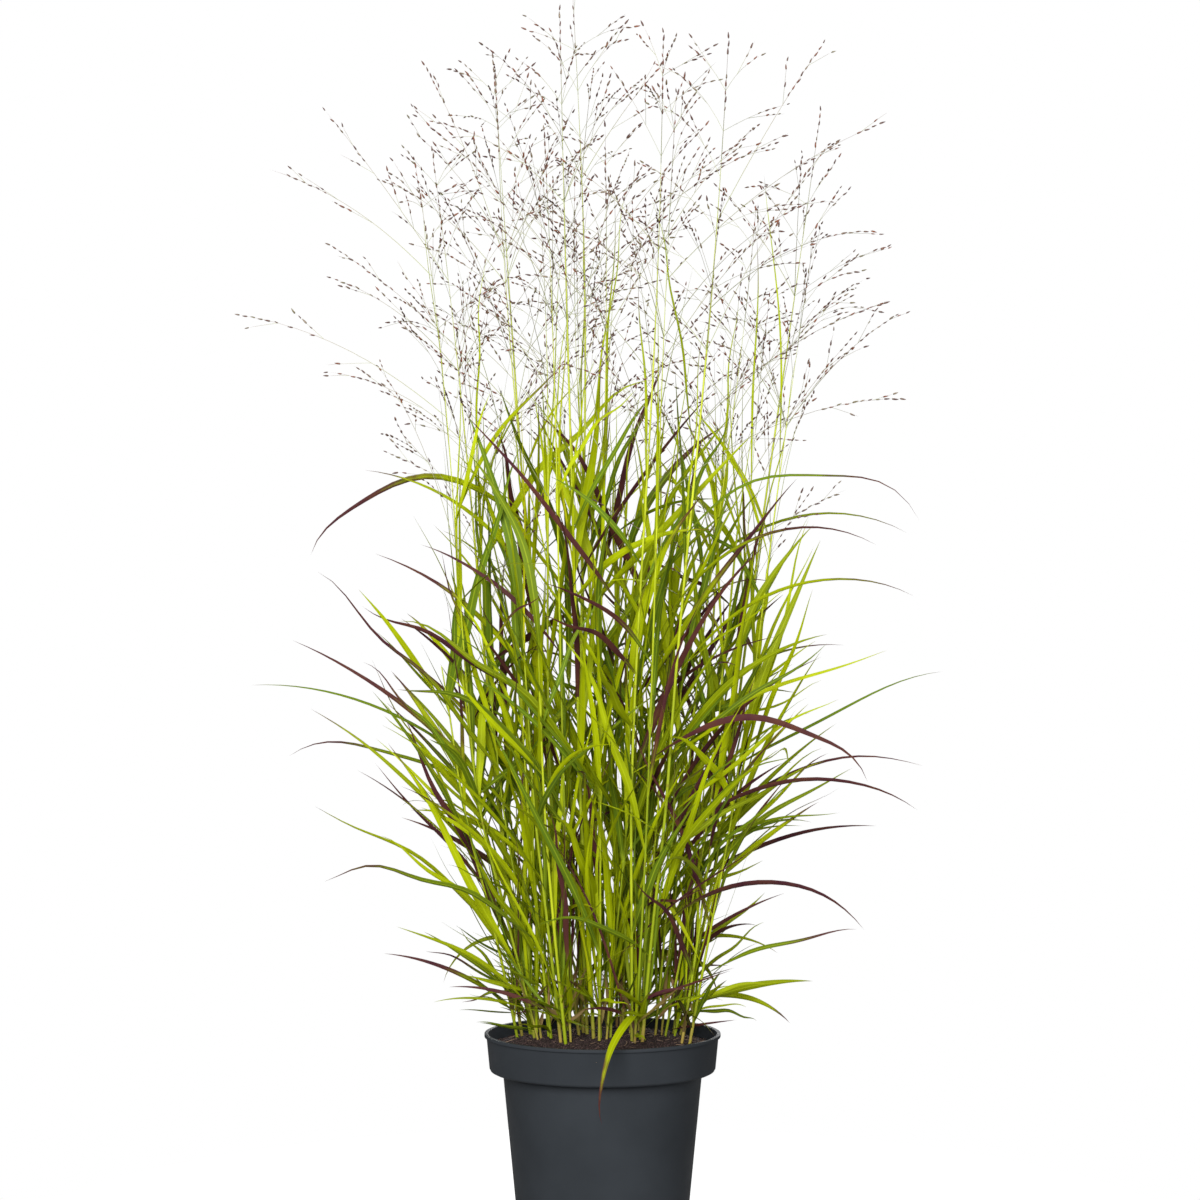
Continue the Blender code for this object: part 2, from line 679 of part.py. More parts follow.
def make_shoot(culm):
    """Model one shoot: a three-sided culm, with its blades and branches out of its sides."""
    bm = bmesh.new()
    turn = culm.azimuth
    foot = [bm.verts.new(corner) for corner in ring(culm.at(0), turn, culm.radius(0))]
    top = bm.faces.new(foot)
    heights = {limb.height for limb in culm.limbs}
    if all(abs(height - CLUMP_HEIGHT) > COLLAR_SPACING / 2 for height in heights):
        heights.add(CLUMP_HEIGHT)
    for height in sorted(heights):
        whorl = [limb for limb in culm.limbs if limb.height == height]
        if not whorl:
            top = push(bm, top, ring(culm.at(height), turn, culm.radius(height)))
            continue
        if height == culm.height:
            break
        turn, side = nearest_turn(turn, whorl[0].azimuth)
        step = COLLAR_STEP * culm.radius(height) / CULM_RADIUS
        for level in (height - step / 2, height + step / 2):
            top = push(bm, top, ring(culm.at(level), turn, culm.radius(level)))
        for limb in whorl:
            apart = round((limb.azimuth - whorl[0].azimuth) / (math.tau / 3))
            grow_from_side(bm, top, (side + apart) % 3, limb)
    end = culm.at(culm.height)
    if height == culm.height:
        turn = nearest_turn(turn, whorl[0].azimuth + math.pi)
        top = push(bm, top, ring(end, turn[0], culm.radius(height)))
        roles = ["keel"] * 3
        roles[turn[1]], roles[(turn[1] + 1) % 3] = "left", "right"
        grow_from(bm, top, roles, whorl[0])
    else:
        push(bm, top, [end, end, end])
    bm.faces.new(foot[::-1])
    bmesh.ops.remove_doubles(bm, verts=bm.verts, dist=1e-5)
    bmesh.ops.recalc_face_normals(bm, faces=bm.faces)
    split_outwards(bm)
    name = f"{'flowering' if culm.flowers else 'leafy'}_shoot_{culm.number + 1:02d}"
    mesh = bpy.data.meshes.new(name)
    bm.to_mesh(mesh)
    bm.free()
    green = FLOWERING_GREEN if culm.flowers else LEAFY_GREEN
    finish(name, mesh, green, GRASS_ROUGHNESS)


def make_plant():
    rng = Random(SEED)
    space = Space()
    culms = grow_culms(rng, space)
    flowering = [culm for culm in culms if culm.flowers]
    grow_front_blade(culms, space)
    grow_outline(OUTLINE_BLADES, blade_size(), OUTLINE_ROLL, culms, space, rng)
    grow_top_blades(culms, space, rng)
    grow_side_blades(culms, space, rng)
    grow_outline(OUTLINE_BRANCHES, branch_size(), (0.0, 0.0), flowering, space, rng)
    grow_seed_heads(culms, space, rng)
    for culm in culms:
        make_shoot(culm)


clear_scene()
make_pot()
make_soil()
make_plant()
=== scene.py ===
"""A potted switchgrass: an airy ornamental grass in a dark grey plastic nursery pot.

Metres, +Z up, the front towards -Y, the origin in the middle of the pot's base.
"""
import math
from random import Random

import bmesh
import bpy
import numpy as np
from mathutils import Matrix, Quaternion, Vector, noise


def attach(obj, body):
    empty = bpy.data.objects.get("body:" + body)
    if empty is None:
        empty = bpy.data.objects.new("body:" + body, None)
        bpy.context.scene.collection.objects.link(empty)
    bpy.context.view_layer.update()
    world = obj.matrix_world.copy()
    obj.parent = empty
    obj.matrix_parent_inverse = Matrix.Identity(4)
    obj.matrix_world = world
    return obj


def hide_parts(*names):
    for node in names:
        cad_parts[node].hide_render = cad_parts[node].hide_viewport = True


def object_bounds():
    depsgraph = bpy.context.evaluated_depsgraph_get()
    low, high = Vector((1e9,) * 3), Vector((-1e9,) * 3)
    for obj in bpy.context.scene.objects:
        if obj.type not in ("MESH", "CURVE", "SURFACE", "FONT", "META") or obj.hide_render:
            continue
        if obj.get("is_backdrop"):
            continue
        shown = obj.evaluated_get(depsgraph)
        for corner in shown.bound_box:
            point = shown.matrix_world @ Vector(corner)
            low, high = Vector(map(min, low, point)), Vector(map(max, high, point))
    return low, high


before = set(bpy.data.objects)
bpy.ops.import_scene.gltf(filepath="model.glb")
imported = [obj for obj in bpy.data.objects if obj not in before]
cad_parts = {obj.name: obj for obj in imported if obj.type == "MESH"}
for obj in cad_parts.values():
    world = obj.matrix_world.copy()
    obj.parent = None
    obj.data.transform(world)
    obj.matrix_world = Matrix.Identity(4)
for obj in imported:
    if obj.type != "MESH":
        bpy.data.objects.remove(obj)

# The picture
# A photograph of a plant against plain white, taken level from about the middle of its
# height with a long lens. Its scale is known at the pot's rim.
PICTURE_SIDE = 1200
PIXELS_PER_METRE = 1013
CAMERA_DISTANCE = 2.95
CAMERA_HEIGHT = 0.627
CAMERA_ACROSS = -0.0025
SENSOR = 36

cad_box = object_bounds()


def put_in_scene(name, data):
    thing = bpy.data.objects.new(name, data)
    bpy.context.scene.collection.objects.link(thing)
    return thing


lens = bpy.data.cameras.new("camera")
lens.sensor_width = SENSOR
lens.lens = SENSOR * PIXELS_PER_METRE * CAMERA_DISTANCE / PICTURE_SIDE
camera = put_in_scene("camera", lens)
camera.location = (CAMERA_ACROSS, -CAMERA_DISTANCE, CAMERA_HEIGHT)
camera.rotation_euler = (math.pi / 2, 0, 0)
scene = bpy.context.scene
scene.camera = camera
scene.view_settings.view_transform = "Standard"

# The studio
# Soft light from everywhere, a large soft box in front and to the left, weaker ones on
# the right and behind, and a plain disc to stand on that the camera sees as white.
BACKGROUND_WHITE = 1.0
ROOM_LIGHT = 0.22
WHITE = (1.0, 1.0, 1.0)
# where each soft box stands, its side and its power
SOFT_BOXES = {
    "key_light": ((-0.7, -3.2, 1.7), 1.8, 182.0),
    "fill_light": ((1.2, -2.8, 1.0), 1.4, 30.0),
    "back_light": ((0.5, 2.8, 1.9), 1.8, 80.0),
}
LIT_POINT = Vector((0, 0, 0.6))
FLOOR_RADIUS = 0.60
FLOOR_SIDES = 96
FLOOR_GREY = (0.30, 0.30, 0.30)
FLOOR_ROUGHNESS = 0.9
FLOOR_GLOW = 0.82


def fill(node, values):
    """Fill or link a node's sockets, found by identifier, name or place.

    A value is a number, a colour, a socket, or a node, whose first output is meant.
    """
    for key, value in values.items():
        same = [socket for socket in node.inputs if socket.identifier == key]
        socket = same[0] if same else node.inputs[key]
        if isinstance(value, bpy.types.Node):
            value = value.outputs[0]
        if isinstance(value, bpy.types.NodeSocket):
            tree.links.new(value, socket)
        elif socket.type == "RGBA":
            socket.default_value = (*value, 1.0)
        else:
            socket.default_value = value


def add(kind, inputs=None, **settings):
    """Put a node in the tree that is being made, set its fields and fill its sockets."""
    made = tree.nodes.new(kind)
    for key, value in settings.items():
        setattr(made, key, value)
    fill(made, inputs or {})
    return made


def mapped(value, low, high, least=0.0, most=1.0, curve="LINEAR"):
    """Go from the least to the most while a value goes from low to high."""
    return add("ShaderNodeMapRange", {
        "Value": value, "From Min": low, "From Max": high, "To Min": least, "To Max": most,
    }, interpolation_type=curve)


def seen_by_camera(otherwise, seen):
    return mapped(add("ShaderNodeLightPath").outputs["Is Camera Ray"], 0.0, 1.0, otherwise, seen)


def new_material(name, roughness, specular=0.5):
    """A material, its node tree and its shader."""
    made = bpy.data.materials.new(name)
    made.use_nodes = True
    shader = made.node_tree.nodes["Principled BSDF"]
    fill(shader, {"Roughness": roughness, "Specular IOR Level": specular})
    return made, made.node_tree, shader


def as_mesh(name, bm):
    """Turn what was drawn into a mesh."""
    made = bpy.data.meshes.new(name)
    bm.to_mesh(made)
    bm.free()
    return made


world = bpy.data.worlds.new("studio")
world.use_nodes = True
tree = world.node_tree
tree.nodes.clear()
strength = seen_by_camera(ROOM_LIGHT, BACKGROUND_WHITE)
white = add("ShaderNodeBackground", {"Color": WHITE, "Strength": strength})
add("ShaderNodeOutputWorld", {"Surface": white})
scene.world = world

for name, (place, side, power) in SOFT_BOXES.items():
    box = bpy.data.lights.new(name, "AREA")
    box.shape = "SQUARE"
    box.size = side
    box.energy = power
    lamp = put_in_scene(name, box)
    lamp.location = place
    lamp.rotation_euler = (LIT_POINT - Vector(place)).to_track_quat("-Z", "Y").to_euler()

disc = bmesh.new()
bmesh.ops.create_circle(disc, cap_ends=True, segments=FLOOR_SIDES, radius=FLOOR_RADIUS)
floor = put_in_scene("floor", as_mesh("floor", disc))
paint, tree, shader = new_material("floor_white", FLOOR_ROUGHNESS)
glow = seen_by_camera(0.0, FLOOR_GLOW)
fill(shader, {"Base Color": FLOOR_GREY, "Emission Color": WHITE, "Emission Strength": glow})
floor.data.materials.append(paint)
floor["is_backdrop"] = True

# The pot
# An injection-moulded nursery pot of thin dark grey plastic. Its deep collar and rolled
# lip stiffen it for stacking, and six holes in its base let water out.
POT_HEIGHT = 0.200
BASE_RADIUS = 0.0825
BODY_TOP_RADIUS = 0.0984
COLLAR_BOTTOM = 0.163
COLLAR_RADIUS = 0.1115
COLLAR_TOP_RADIUS = 0.1145
COLLAR_ROUNDING = 0.003
LIP_RADIUS = 0.1165
LIP_DEPTH = 0.003
WALL = 0.0018
FLOOR = 0.004
DRAIN_HOLES = 6
DRAIN_HOLE_RADIUS = 0.006
DRAIN_HOLE_SIDES = 24
DRAIN_CIRCLE_RADIUS = 0.052
POT_SIDES = 144
POT_EDGE = 0.0007
POT_EDGE_ANGLE = math.radians(40)
POT_CREASE = math.radians(50)
MERGED_BELOW = 1e-5
POT_GREY = (0.0256, 0.0292, 0.0336)
POT_PALER = 1.25
POT_DUST = (0.070, 0.066, 0.062)
DUST_HEIGHT = 0.050
DUST_SHARE = 0.35


def outer_wall():
    """The pot's outside from base to lip, as (radius, height) points."""
    return [
        (BASE_RADIUS, 0.0),
        (BODY_TOP_RADIUS, COLLAR_BOTTOM),
        (COLLAR_RADIUS - COLLAR_ROUNDING, COLLAR_BOTTOM),
        (COLLAR_RADIUS - COLLAR_ROUNDING / 3, COLLAR_BOTTOM + COLLAR_ROUNDING / 3),
        (COLLAR_RADIUS, COLLAR_BOTTOM + COLLAR_ROUNDING),
        (COLLAR_TOP_RADIUS, POT_HEIGHT - LIP_DEPTH),
        (LIP_RADIUS, POT_HEIGHT - LIP_DEPTH),
        (LIP_RADIUS, POT_HEIGHT),
    ]


def inner_wall(inset=0.0):
    """The pot's inside from its floor up, or the same line a little further in."""
    floor = FLOOR + inset
    body = WALL + inset
    step = COLLAR_BOTTOM + COLLAR_ROUNDING
    slope = (BODY_TOP_RADIUS - BASE_RADIUS) / COLLAR_BOTTOM
    return [
        (BASE_RADIUS + slope * floor - body, floor),
        (BASE_RADIUS + slope * step - body, step + inset),
        (COLLAR_RADIUS - body, step + inset),
        (COLLAR_TOP_RADIUS - body, POT_HEIGHT),
    ]


def turned(name, profile):
    """Spin an outline of (radius, height) points round the pot's axis into a closed body."""
    bm = bmesh.new()
    points = [bm.verts.new((radius, 0.0, height)) for radius, height in profile]
    edges = [bm.edges.new(pair) for pair in zip(points, points[1:])]
    bmesh.ops.spin(
        bm, geom=points + edges, axis=(0, 0, 1), cent=(0, 0, 0),
        steps=POT_SIDES, angle=math.tau, use_merge=True,
    )
    bmesh.ops.remove_doubles(bm, verts=bm.verts, dist=MERGED_BELOW)
    rims = [edge for edge in bm.edges if edge.is_boundary]
    bmesh.ops.holes_fill(bm, edges=rims, sides=0)
    bmesh.ops.recalc_face_normals(bm, faces=bm.faces)
    return as_mesh(name, bm)


def shape_now(thing):
    """Give a piece its modified shape as a plain mesh."""
    graph = bpy.context.evaluated_depsgraph_get()
    shaped = bpy.data.meshes.new_from_object(thing.evaluated_get(graph))
    thing.modifiers.clear()
    thing.data = shaped


def new_tree(name, kind, inputs, outputs):
    """A node tree of its own and what it is given, with its sockets listed by what they carry."""
    made = bpy.data.node_groups.new(name, kind + "NodeTree")
    for way, sockets in (("INPUT", inputs), ("OUTPUT", outputs)):
        for carries, titles in sockets.items():
            for title in titles.split(", "):
                made.interface.new_socket(title, in_out=way, socket_type="NodeSocket" + carries)
    return made, made.nodes.new("NodeGroupInput").outputs


def maths(kind, first, second=0.0, third=0.0):
    """One step of arithmetic."""
    return add("ShaderNodeMath", {0: first, 1: second, 2: third}, operation=kind)


# Fine uneven colour or gloss, for anything that isn't perfectly even
mottle, given = new_tree("mottle", "Shader", {
    "Vector": "Place", "Float": "Scale, Detail, Low, High",
}, {"Float": "Value"})
tree = mottle
cloud = add("ShaderNodeTexNoise", {
    "Vector": given["Place"], "Scale": given["Scale"], "Detail": given["Detail"],
})
add("NodeGroupOutput", {"Value": mapped(cloud, 0.3, 0.7, given["Low"], given["High"])})


def mottled(place, scale, low=0.0, high=1.0, detail=3.0):
    """Put the uneven effect in a material."""
    return add("ShaderNodeGroup", {
        "Place": place, "Scale": scale, "Detail": detail, "Low": low, "High": high,
    }, node_tree=mottle)


# of the mixing node's results, which are a number, a vector, a colour and a turn
MIXED_COLOUR = 2


def blend(share, first, second):
    """Mix two colours, each a socket or a plain colour."""
    return add("ShaderNodeMix", {
        "Factor_Float": share, "A_Color": first, "B_Color": second,
    }, data_type="RGBA").outputs[MIXED_COLOUR]


def on_piece():
    """Places on the piece itself."""
    return add("ShaderNodeTexCoord").outputs["Object"]


def split(place):
    return add("ShaderNodeSeparateXYZ", {"Vector": place}).outputs


def bumpy(height, strength, depth):
    return add("ShaderNodeBump", {"Height": height, "Strength": strength, "Distance": depth})


def grain(place, scale, detail):
    return add("ShaderNodeTexNoise", {"Vector": place, "Scale": scale, "Detail": detail})


pot = put_in_scene("nursery_pot", turned("nursery_pot", outer_wall() + inner_wall()[::-1]))
drill = bmesh.new()
for k in range(DRAIN_HOLES):
    angle = math.tau * (k + 0.5) / DRAIN_HOLES
    made = bmesh.ops.create_cone(
        drill, cap_ends=True, segments=DRAIN_HOLE_SIDES,
        radius1=DRAIN_HOLE_RADIUS, radius2=DRAIN_HOLE_RADIUS, depth=4 * FLOOR,
    )
    place = Vector((math.cos(angle), math.sin(angle), 0)) * DRAIN_CIRCLE_RADIUS
    bmesh.ops.translate(drill, verts=made["verts"], vec=place)
cutter = put_in_scene("drain_holes", as_mesh("drain_holes", drill))
cut = pot.modifiers.new("drain", "BOOLEAN")
cut.operation = "DIFFERENCE"
cut.solver = "EXACT"
cut.object = cutter
soften = pot.modifiers.new("edges", "BEVEL")
soften.width = POT_EDGE
soften.segments = 2
soften.limit_method = "ANGLE"
soften.angle_limit = POT_EDGE_ANGLE
shape_now(pot)
bpy.data.objects.remove(cutter)
pot.data.shade_smooth()
pot.data.set_sharp_from_angle(angle=POT_CREASE)

plastic, tree, shader = new_material("pot_plastic", roughness=0.5, specular=0.04)
place = on_piece()
grey = blend(mottled(place, 14.0), POT_GREY, tuple(POT_PALER * value for value in POT_GREY))
# dust that the drips of watering leave on the foot
low_down = mapped(split(place)["Z"], DUST_HEIGHT, 0.0)
dust = maths("MULTIPLY", low_down, mottled(place, 60.0, detail=6.0))
fill(shader, {
    "Base Color": blend(maths("MULTIPLY", dust, DUST_SHARE), grey, POT_DUST),
    "Roughness": mottled(place, 30.0, 0.44, 0.54),
    "Normal": bumpy(grain(place, 1400.0, 2.0), 0.10, 0.0003),
})
pot.data.materials.clear()
pot.data.materials.append(plastic)
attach(pot, "root")
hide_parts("pot")

# The soil
# One root ball of dark peat compost, filled to a little under the rim and slightly heaped
# in the middle. Its top is crumbly, with loose crumbs and pale fibres of peat on it.
SOIL_EDGE = 0.187
SOIL_TOP = 0.197
SOIL_TOP_RADIUS = 0.060
FIT_GAP = 0.0003
SOIL_RINGS = 72
SOIL_SIDES = 240
LUMPS = ((0.0055, 0.0013), (0.0022, 0.0008), (0.0010, 0.0004))
LITTER_BELOW = 0.004
LITTER_SEED = 4
CRUMBS = 1500
CRUMB_SIZES = (0.0007, 0.0024)
CRUMB_FORMS = ((0.6, 0.5, 0.4), (1.3, 1.0, 0.8))
CRUMB_TURNS = ((-0.5, -0.5, 0.0), (0.5, 0.5, math.tau))
FIBRES = 170
FIBRE_LENGTH = 0.011
FIBRE_RADIUS = 0.00028
FIBRE_STEPS = 5
FIBRE_SIDES = 4
FIBRE_SIZES = (0.4, 1.1)
FIBRE_TURNS = ((-0.25, -0.35, 0.0), (0.25, 0.35, math.tau))
FIBRE_RISE = 0.0006
PEAT_BLACK = (0.005, 0.0040, 0.0038)
PEAT_BROWN = (0.030, 0.019, 0.018)
PEAT_RED = (0.125, 0.078, 0.072)
FIBRE_PALE = (0.30, 0.20, 0.13)
FIBRE_DARK = (0.10, 0.055, 0.035)


def soil_height(radius):
    """The soil's surface: level in the middle, and falling to the wall."""
    fall = (SOIL_TOP - SOIL_EDGE) / (COLLAR_TOP_RADIUS - WALL - SOIL_TOP_RADIUS)
    return SOIL_TOP - fall * max(0.0, radius - SOIL_TOP_RADIUS)


def lumpy(radius, turn):
    """A point of the soil's crumbly surface."""
    x, y = radius * math.cos(turn), radius * math.sin(turn)
    height = soil_height(radius)
    for size, depth in LUMPS:
        height += depth * noise.noise(Vector((x, y, size)) / size)
    return x, y, height


sides = inner_wall(FIT_GAP)
(low_radius, low), (high_radius, high) = sides[2:]
edge_radius = low_radius + (high_radius - low_radius) * (SOIL_EDGE - low) / (high - low)
turns = [math.tau * k / SOIL_SIDES for k in range(SOIL_SIDES)]
rings = [
    [(radius * math.cos(turn), radius * math.sin(turn), height) for turn in turns]
    for radius, height in sides[:3]
]
for k in range(SOIL_RINGS, 0, -1):
    rings.append([lumpy(edge_radius * k / SOIL_RINGS, turn) for turn in turns])
ball = bmesh.new()
loops = [[ball.verts.new(point) for point in ring] for ring in rings]
for inner, outer in zip(loops, loops[1:]):
    for k in range(SOIL_SIDES):
        ball.faces.new((inner[k - 1], inner[k], outer[k], outer[k - 1]))
ball.faces.new(loops[0][::-1])
middle = ball.verts.new(lumpy(0, 0))
for k in range(SOIL_SIDES):
    ball.faces.new((loops[-1][k - 1], loops[-1][k], middle))
bmesh.ops.recalc_face_normals(ball, faces=ball.faces)
soil = put_in_scene("root_ball", as_mesh("root_ball", ball))
soil.data.shade_smooth()

peat, tree, shader = new_material("peat_compost", roughness=0.92, specular=0.12)
place = on_piece()
base = blend(mottled(place, 420.0, detail=5.0), PEAT_BLACK, PEAT_BROWN)
fill(shader, {
    "Base Color": blend(mottled(place, 900.0, -1.2, 1.0, detail=2.0), base, PEAT_RED),
    "Normal": bumpy(grain(place, 1100.0, 4.0), 0.6, 0.0006),
})

fibre, tree, shader = new_material("peat_fibre", roughness=0.85)
fill(shader, {"Base Color": blend(mottled(on_piece(), 55.0), FIBRE_DARK, FIBRE_PALE)})

litter, given = new_tree("litter", "Geometry", {
    "Geometry": "Geometry",
    "Float": "Lowest, Crumb Count, Least Crumb, Largest Crumb, Fibre Count, Fibre Length, Fibre Radius",
    "Material": "Peat, Fibre",
    "Int": "Seed",
}, {"Geometry": "Geometry"})
tree = litter
level = split(add("GeometryNodeInputPosition"))["Z"]
top_faces = add("GeometryNodeSeparateGeometry", {
    "Geometry": given["Geometry"], "Selection": maths("GREATER_THAN", level, given["Lowest"]),
}, domain="FACE")
area = add("GeometryNodeAttributeStatistic", {
    "Geometry": top_faces, "Attribute": add("GeometryNodeInputMeshFaceArea"),
}, domain="FACE").outputs["Sum"]


def scattered(count, seed):
    """So many points, at random places on the top of the soil."""
    return add("GeometryNodeDistributePointsOnFaces", {
        "Mesh": top_faces, "Density": maths("DIVIDE", given[count], area),
        "Seed": maths("ADD", given["Seed"], seed),
    })


def drawn(low, high, seed):
    """A random number or vector for each point."""
    several = isinstance(low, tuple)
    least, most = ("Min", "Max") if several else ("Min_001", "Max_001")
    kind = "FLOAT_VECTOR" if several else "FLOAT"
    made = add("FunctionNodeRandomValue", {least: low, most: high, "Seed": seed}, data_type=kind)
    return made.outputs[0 if several else 1]


def turned_by(angles):
    return add("FunctionNodeEulerToRotation", {"Euler": angles})


def vector(**sides):
    return add("ShaderNodeCombineXYZ", sides)


def planted(points, bit, rotation, size, bearing=True):
    """A real copy of a small bit at each point."""
    copies = add("GeometryNodeInstanceOnPoints", {
        "Points": points, "Selection": bearing, "Instance": bit, "Rotation": rotation, "Scale": size,
    })
    return add("GeometryNodeRealizeInstances", {"Geometry": copies})


def swept_along(curve, profile, **inputs):
    return add("GeometryNodeCurveToMesh", {"Curve": curve, "Profile Curve": profile, **inputs})


def painted(body, material):
    return add("GeometryNodeSetMaterial", {"Geometry": body, "Material": material})


def joined(*bodies):
    made = add("GeometryNodeJoinGeometry")
    for body in bodies:
        fill(made, {0: body})
    return made


crumb = add("GeometryNodeMeshIcoSphere", {"Radius": 1.0, "Subdivisions": 1})
size = add("ShaderNodeVectorMath", {
    0: drawn(*CRUMB_FORMS, 6), "Scale": drawn(given["Least Crumb"], given["Largest Crumb"], 5),
}, operation="SCALE")
crumbs = planted(scattered("Crumb Count", 1), crumb, turned_by(drawn(*CRUMB_TURNS, 7)), size)
dark = painted(joined(given["Geometry"], crumbs), given["Peat"])

bow = {
    name: vector(**{axis: maths("MULTIPLY", given["Fibre Length"], share)})
    for name, axis, share in (("Start", "X", -0.5), ("End", "X", 0.5), ("Middle", "Y", 0.25))
}
round_bit = add("GeometryNodeCurvePrimitiveCircle", {
    "Resolution": FIBRE_SIDES, "Radius": given["Fibre Radius"],
})
bow = add("GeometryNodeCurveQuadraticBezier", {"Resolution": FIBRE_STEPS, **bow})
strand = swept_along(bow, round_bit, **{"Fill Caps": True})
raised = add("GeometryNodeSetPosition", {
    "Geometry": scattered("Fibre Count", 2), "Offset": (0, 0, FIBRE_RISE),
})
fibres = planted(raised, strand, turned_by(drawn(*FIBRE_TURNS, 8)), drawn(*FIBRE_SIZES, 9))
add("NodeGroupOutput", {"Geometry": joined(dark, painted(fibres, given["Fibre"]))})


def use_tree(thing, recipe, values):
    """Put a node tree on a piece, with its inputs set by name, and keep what it makes."""
    step = thing.modifiers.new(recipe.name, "NODES")
    step.node_group = recipe
    for socket in recipe.interface.items_tree:
        if socket.in_out == "INPUT" and socket.name in values:
            step[socket.identifier] = values[socket.name]
    shape_now(thing)


use_tree(soil, litter, {
    "Lowest": SOIL_EDGE - LITTER_BELOW, "Crumb Count": float(CRUMBS), "Least Crumb": CRUMB_SIZES[0],
    "Largest Crumb": CRUMB_SIZES[1], "Fibre Count": float(FIBRES), "Fibre Length": FIBRE_LENGTH,
    "Fibre Radius": FIBRE_RADIUS, "Peat": peat, "Fibre": fibre, "Seed": LITTER_SEED,
})
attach(soil, "root")
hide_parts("soil")

# The stalks
# Fifty shoots stand in one tuft, fresh grass with round hollow stalks a few millimetres
# thick. Leaf sheaths wrap them from joint to joint, and they fan out a little as they rise.
SEED = 9
SHOOTS = 50
FLOWERING_SHOOTS = 20
TUFT_HALF_WIDTH = 0.100
TUFT_HALF_DEPTH = 0.073
TUFT_BACK = 0.010
GOLDEN_ANGLE = math.radians(137.508)
TURN_SCATTER = 0.12
CLUMPS = 13
CLUMP_WIDTH = 0.45
CLUMP_HEIGHT = 0.22
CLUMP_BEND = 0.25
FAN_FOOT = 0.25
FAN_SLOPE = 1.15
FAN_ARCH = 0.4
FLOWERING_HEIGHT = 1.06
EDGE_LOSS = 0.12
HEIGHT_SPREAD = 0.25
HEIGHT_POWER = 1.4
LEAFY_HEIGHTS = (0.34, 0.50)
LEAFY_EDGE_LOSS = 0.12
CULM_RADIUS = 0.0021
CULM_TOP_RADIUS = 0.0009
CULM_WAVER = 0.008
WAVER_LENGTH = 0.5
COLLAR_SPACING = 0.035
HEAD_LENGTHS = (0.26, 0.36)
SAMPLE_SPACING = 0.005
LEAN_STEP = 0.01
CLEARANCE = 0.0020
RIM_CLEARANCE = 0.006
SOIL_CLEARANCE = 0.004


def heading(azimuth, lean):
    """The direction that leans from upright towards an azimuth."""
    out = math.sin(lean)
    return Vector((out * math.cos(azimuth), out * math.sin(azimuth), math.cos(lean)))


def in_tuft(share, angle):
    """A place on the soil, at a share of the way out to the edge of the tuft."""
    across = -TUFT_HALF_WIDTH * share * math.cos(angle)
    back = TUFT_HALF_DEPTH * share * math.sin(angle) + TUFT_BACK
    return Vector((across, back, 0.0))


def clump_middles():
    """Where the clumps stand that the tuft's shoots come up in."""
    shares = [math.sqrt((k + 0.5) / CLUMPS) for k in range(CLUMPS)]
    return [in_tuft(share, k * GOLDEN_ANGLE) for k, share in enumerate(shares)]


def clump_opened(height):
    """How far a clump has opened, from 0 at the soil to 1, with a soft bend at the end."""
    share = height / CLUMP_HEIGHT
    past = max(0.0, share - 1 + CLUMP_BEND)
    return share - past ** 2 / (4 * CLUMP_BEND) if share < 1 + CLUMP_BEND else 1.0


class Culm:
    """One shoot's stalk. It leans away from its clump, and outwards with the whole tuft."""

    def __init__(self, number, flowers, rng):
        self.number = number
        self.flowers = flowers
        self.share = math.sqrt((number + 0.5) / SHOOTS)
        angle = number * GOLDEN_ANGLE + rng.uniform(-TURN_SCATTER, TURN_SCATTER)
        spot = in_tuft(self.share, angle)
        self.clump = min(clump_middles(), key=lambda middle: (middle - spot).length)
        self.apart = spot - self.clump
        self.foot = self.clump + self.apart * CLUMP_WIDTH
        self.azimuth = math.atan2(self.foot.y, self.foot.x)
        self.foot.z = soil_height(self.foot.length - 2 * CULM_RADIUS) + FIT_GAP
        self.waver = Vector((rng.uniform(-1, 1), rng.uniform(-1, 1), 0)) * CULM_WAVER
        if flowers:
            loss = EDGE_LOSS * self.share + HEIGHT_SPREAD * rng.random() ** HEIGHT_POWER
            self.height = FLOWERING_HEIGHT - loss
        else:
            self.height = rng.uniform(*LEAFY_HEIGHTS) - LEAFY_EDGE_LOSS * self.share
        self.head = self.height - rng.uniform(*HEAD_LENGTHS)
        self.limbs = []

    def at(self, height):
        opened = clump_opened(height)
        spot = self.clump + self.apart * (CLUMP_WIDTH + (1 - CLUMP_WIDTH) * opened)
        fan = 1 + FAN_FOOT * opened + FAN_SLOPE * height + FAN_ARCH * height ** 2
        sway = self.waver * math.sin(math.pi * height / WAVER_LENGTH)
        return spot * fan + sway + Vector((0, 0, self.foot.z + height))

    def radius(self, height):
        return CULM_RADIUS + (CULM_TOP_RADIUS - CULM_RADIUS) * height / self.height

    def lean(self, azimuth, height):
        """How far the stalk itself leans towards an azimuth."""
        run = self.at(height + LEAN_STEP) - self.at(height)
        return math.atan2(run.x * math.cos(azimuth) + run.y * math.sin(azimuth), run.z)

    def has_room(self, height, spacing=COLLAR_SPACING):
        """Whether a new collar at this height is far enough from the others."""
        return all(abs(height - limb.height) > spacing for limb in self.limbs)


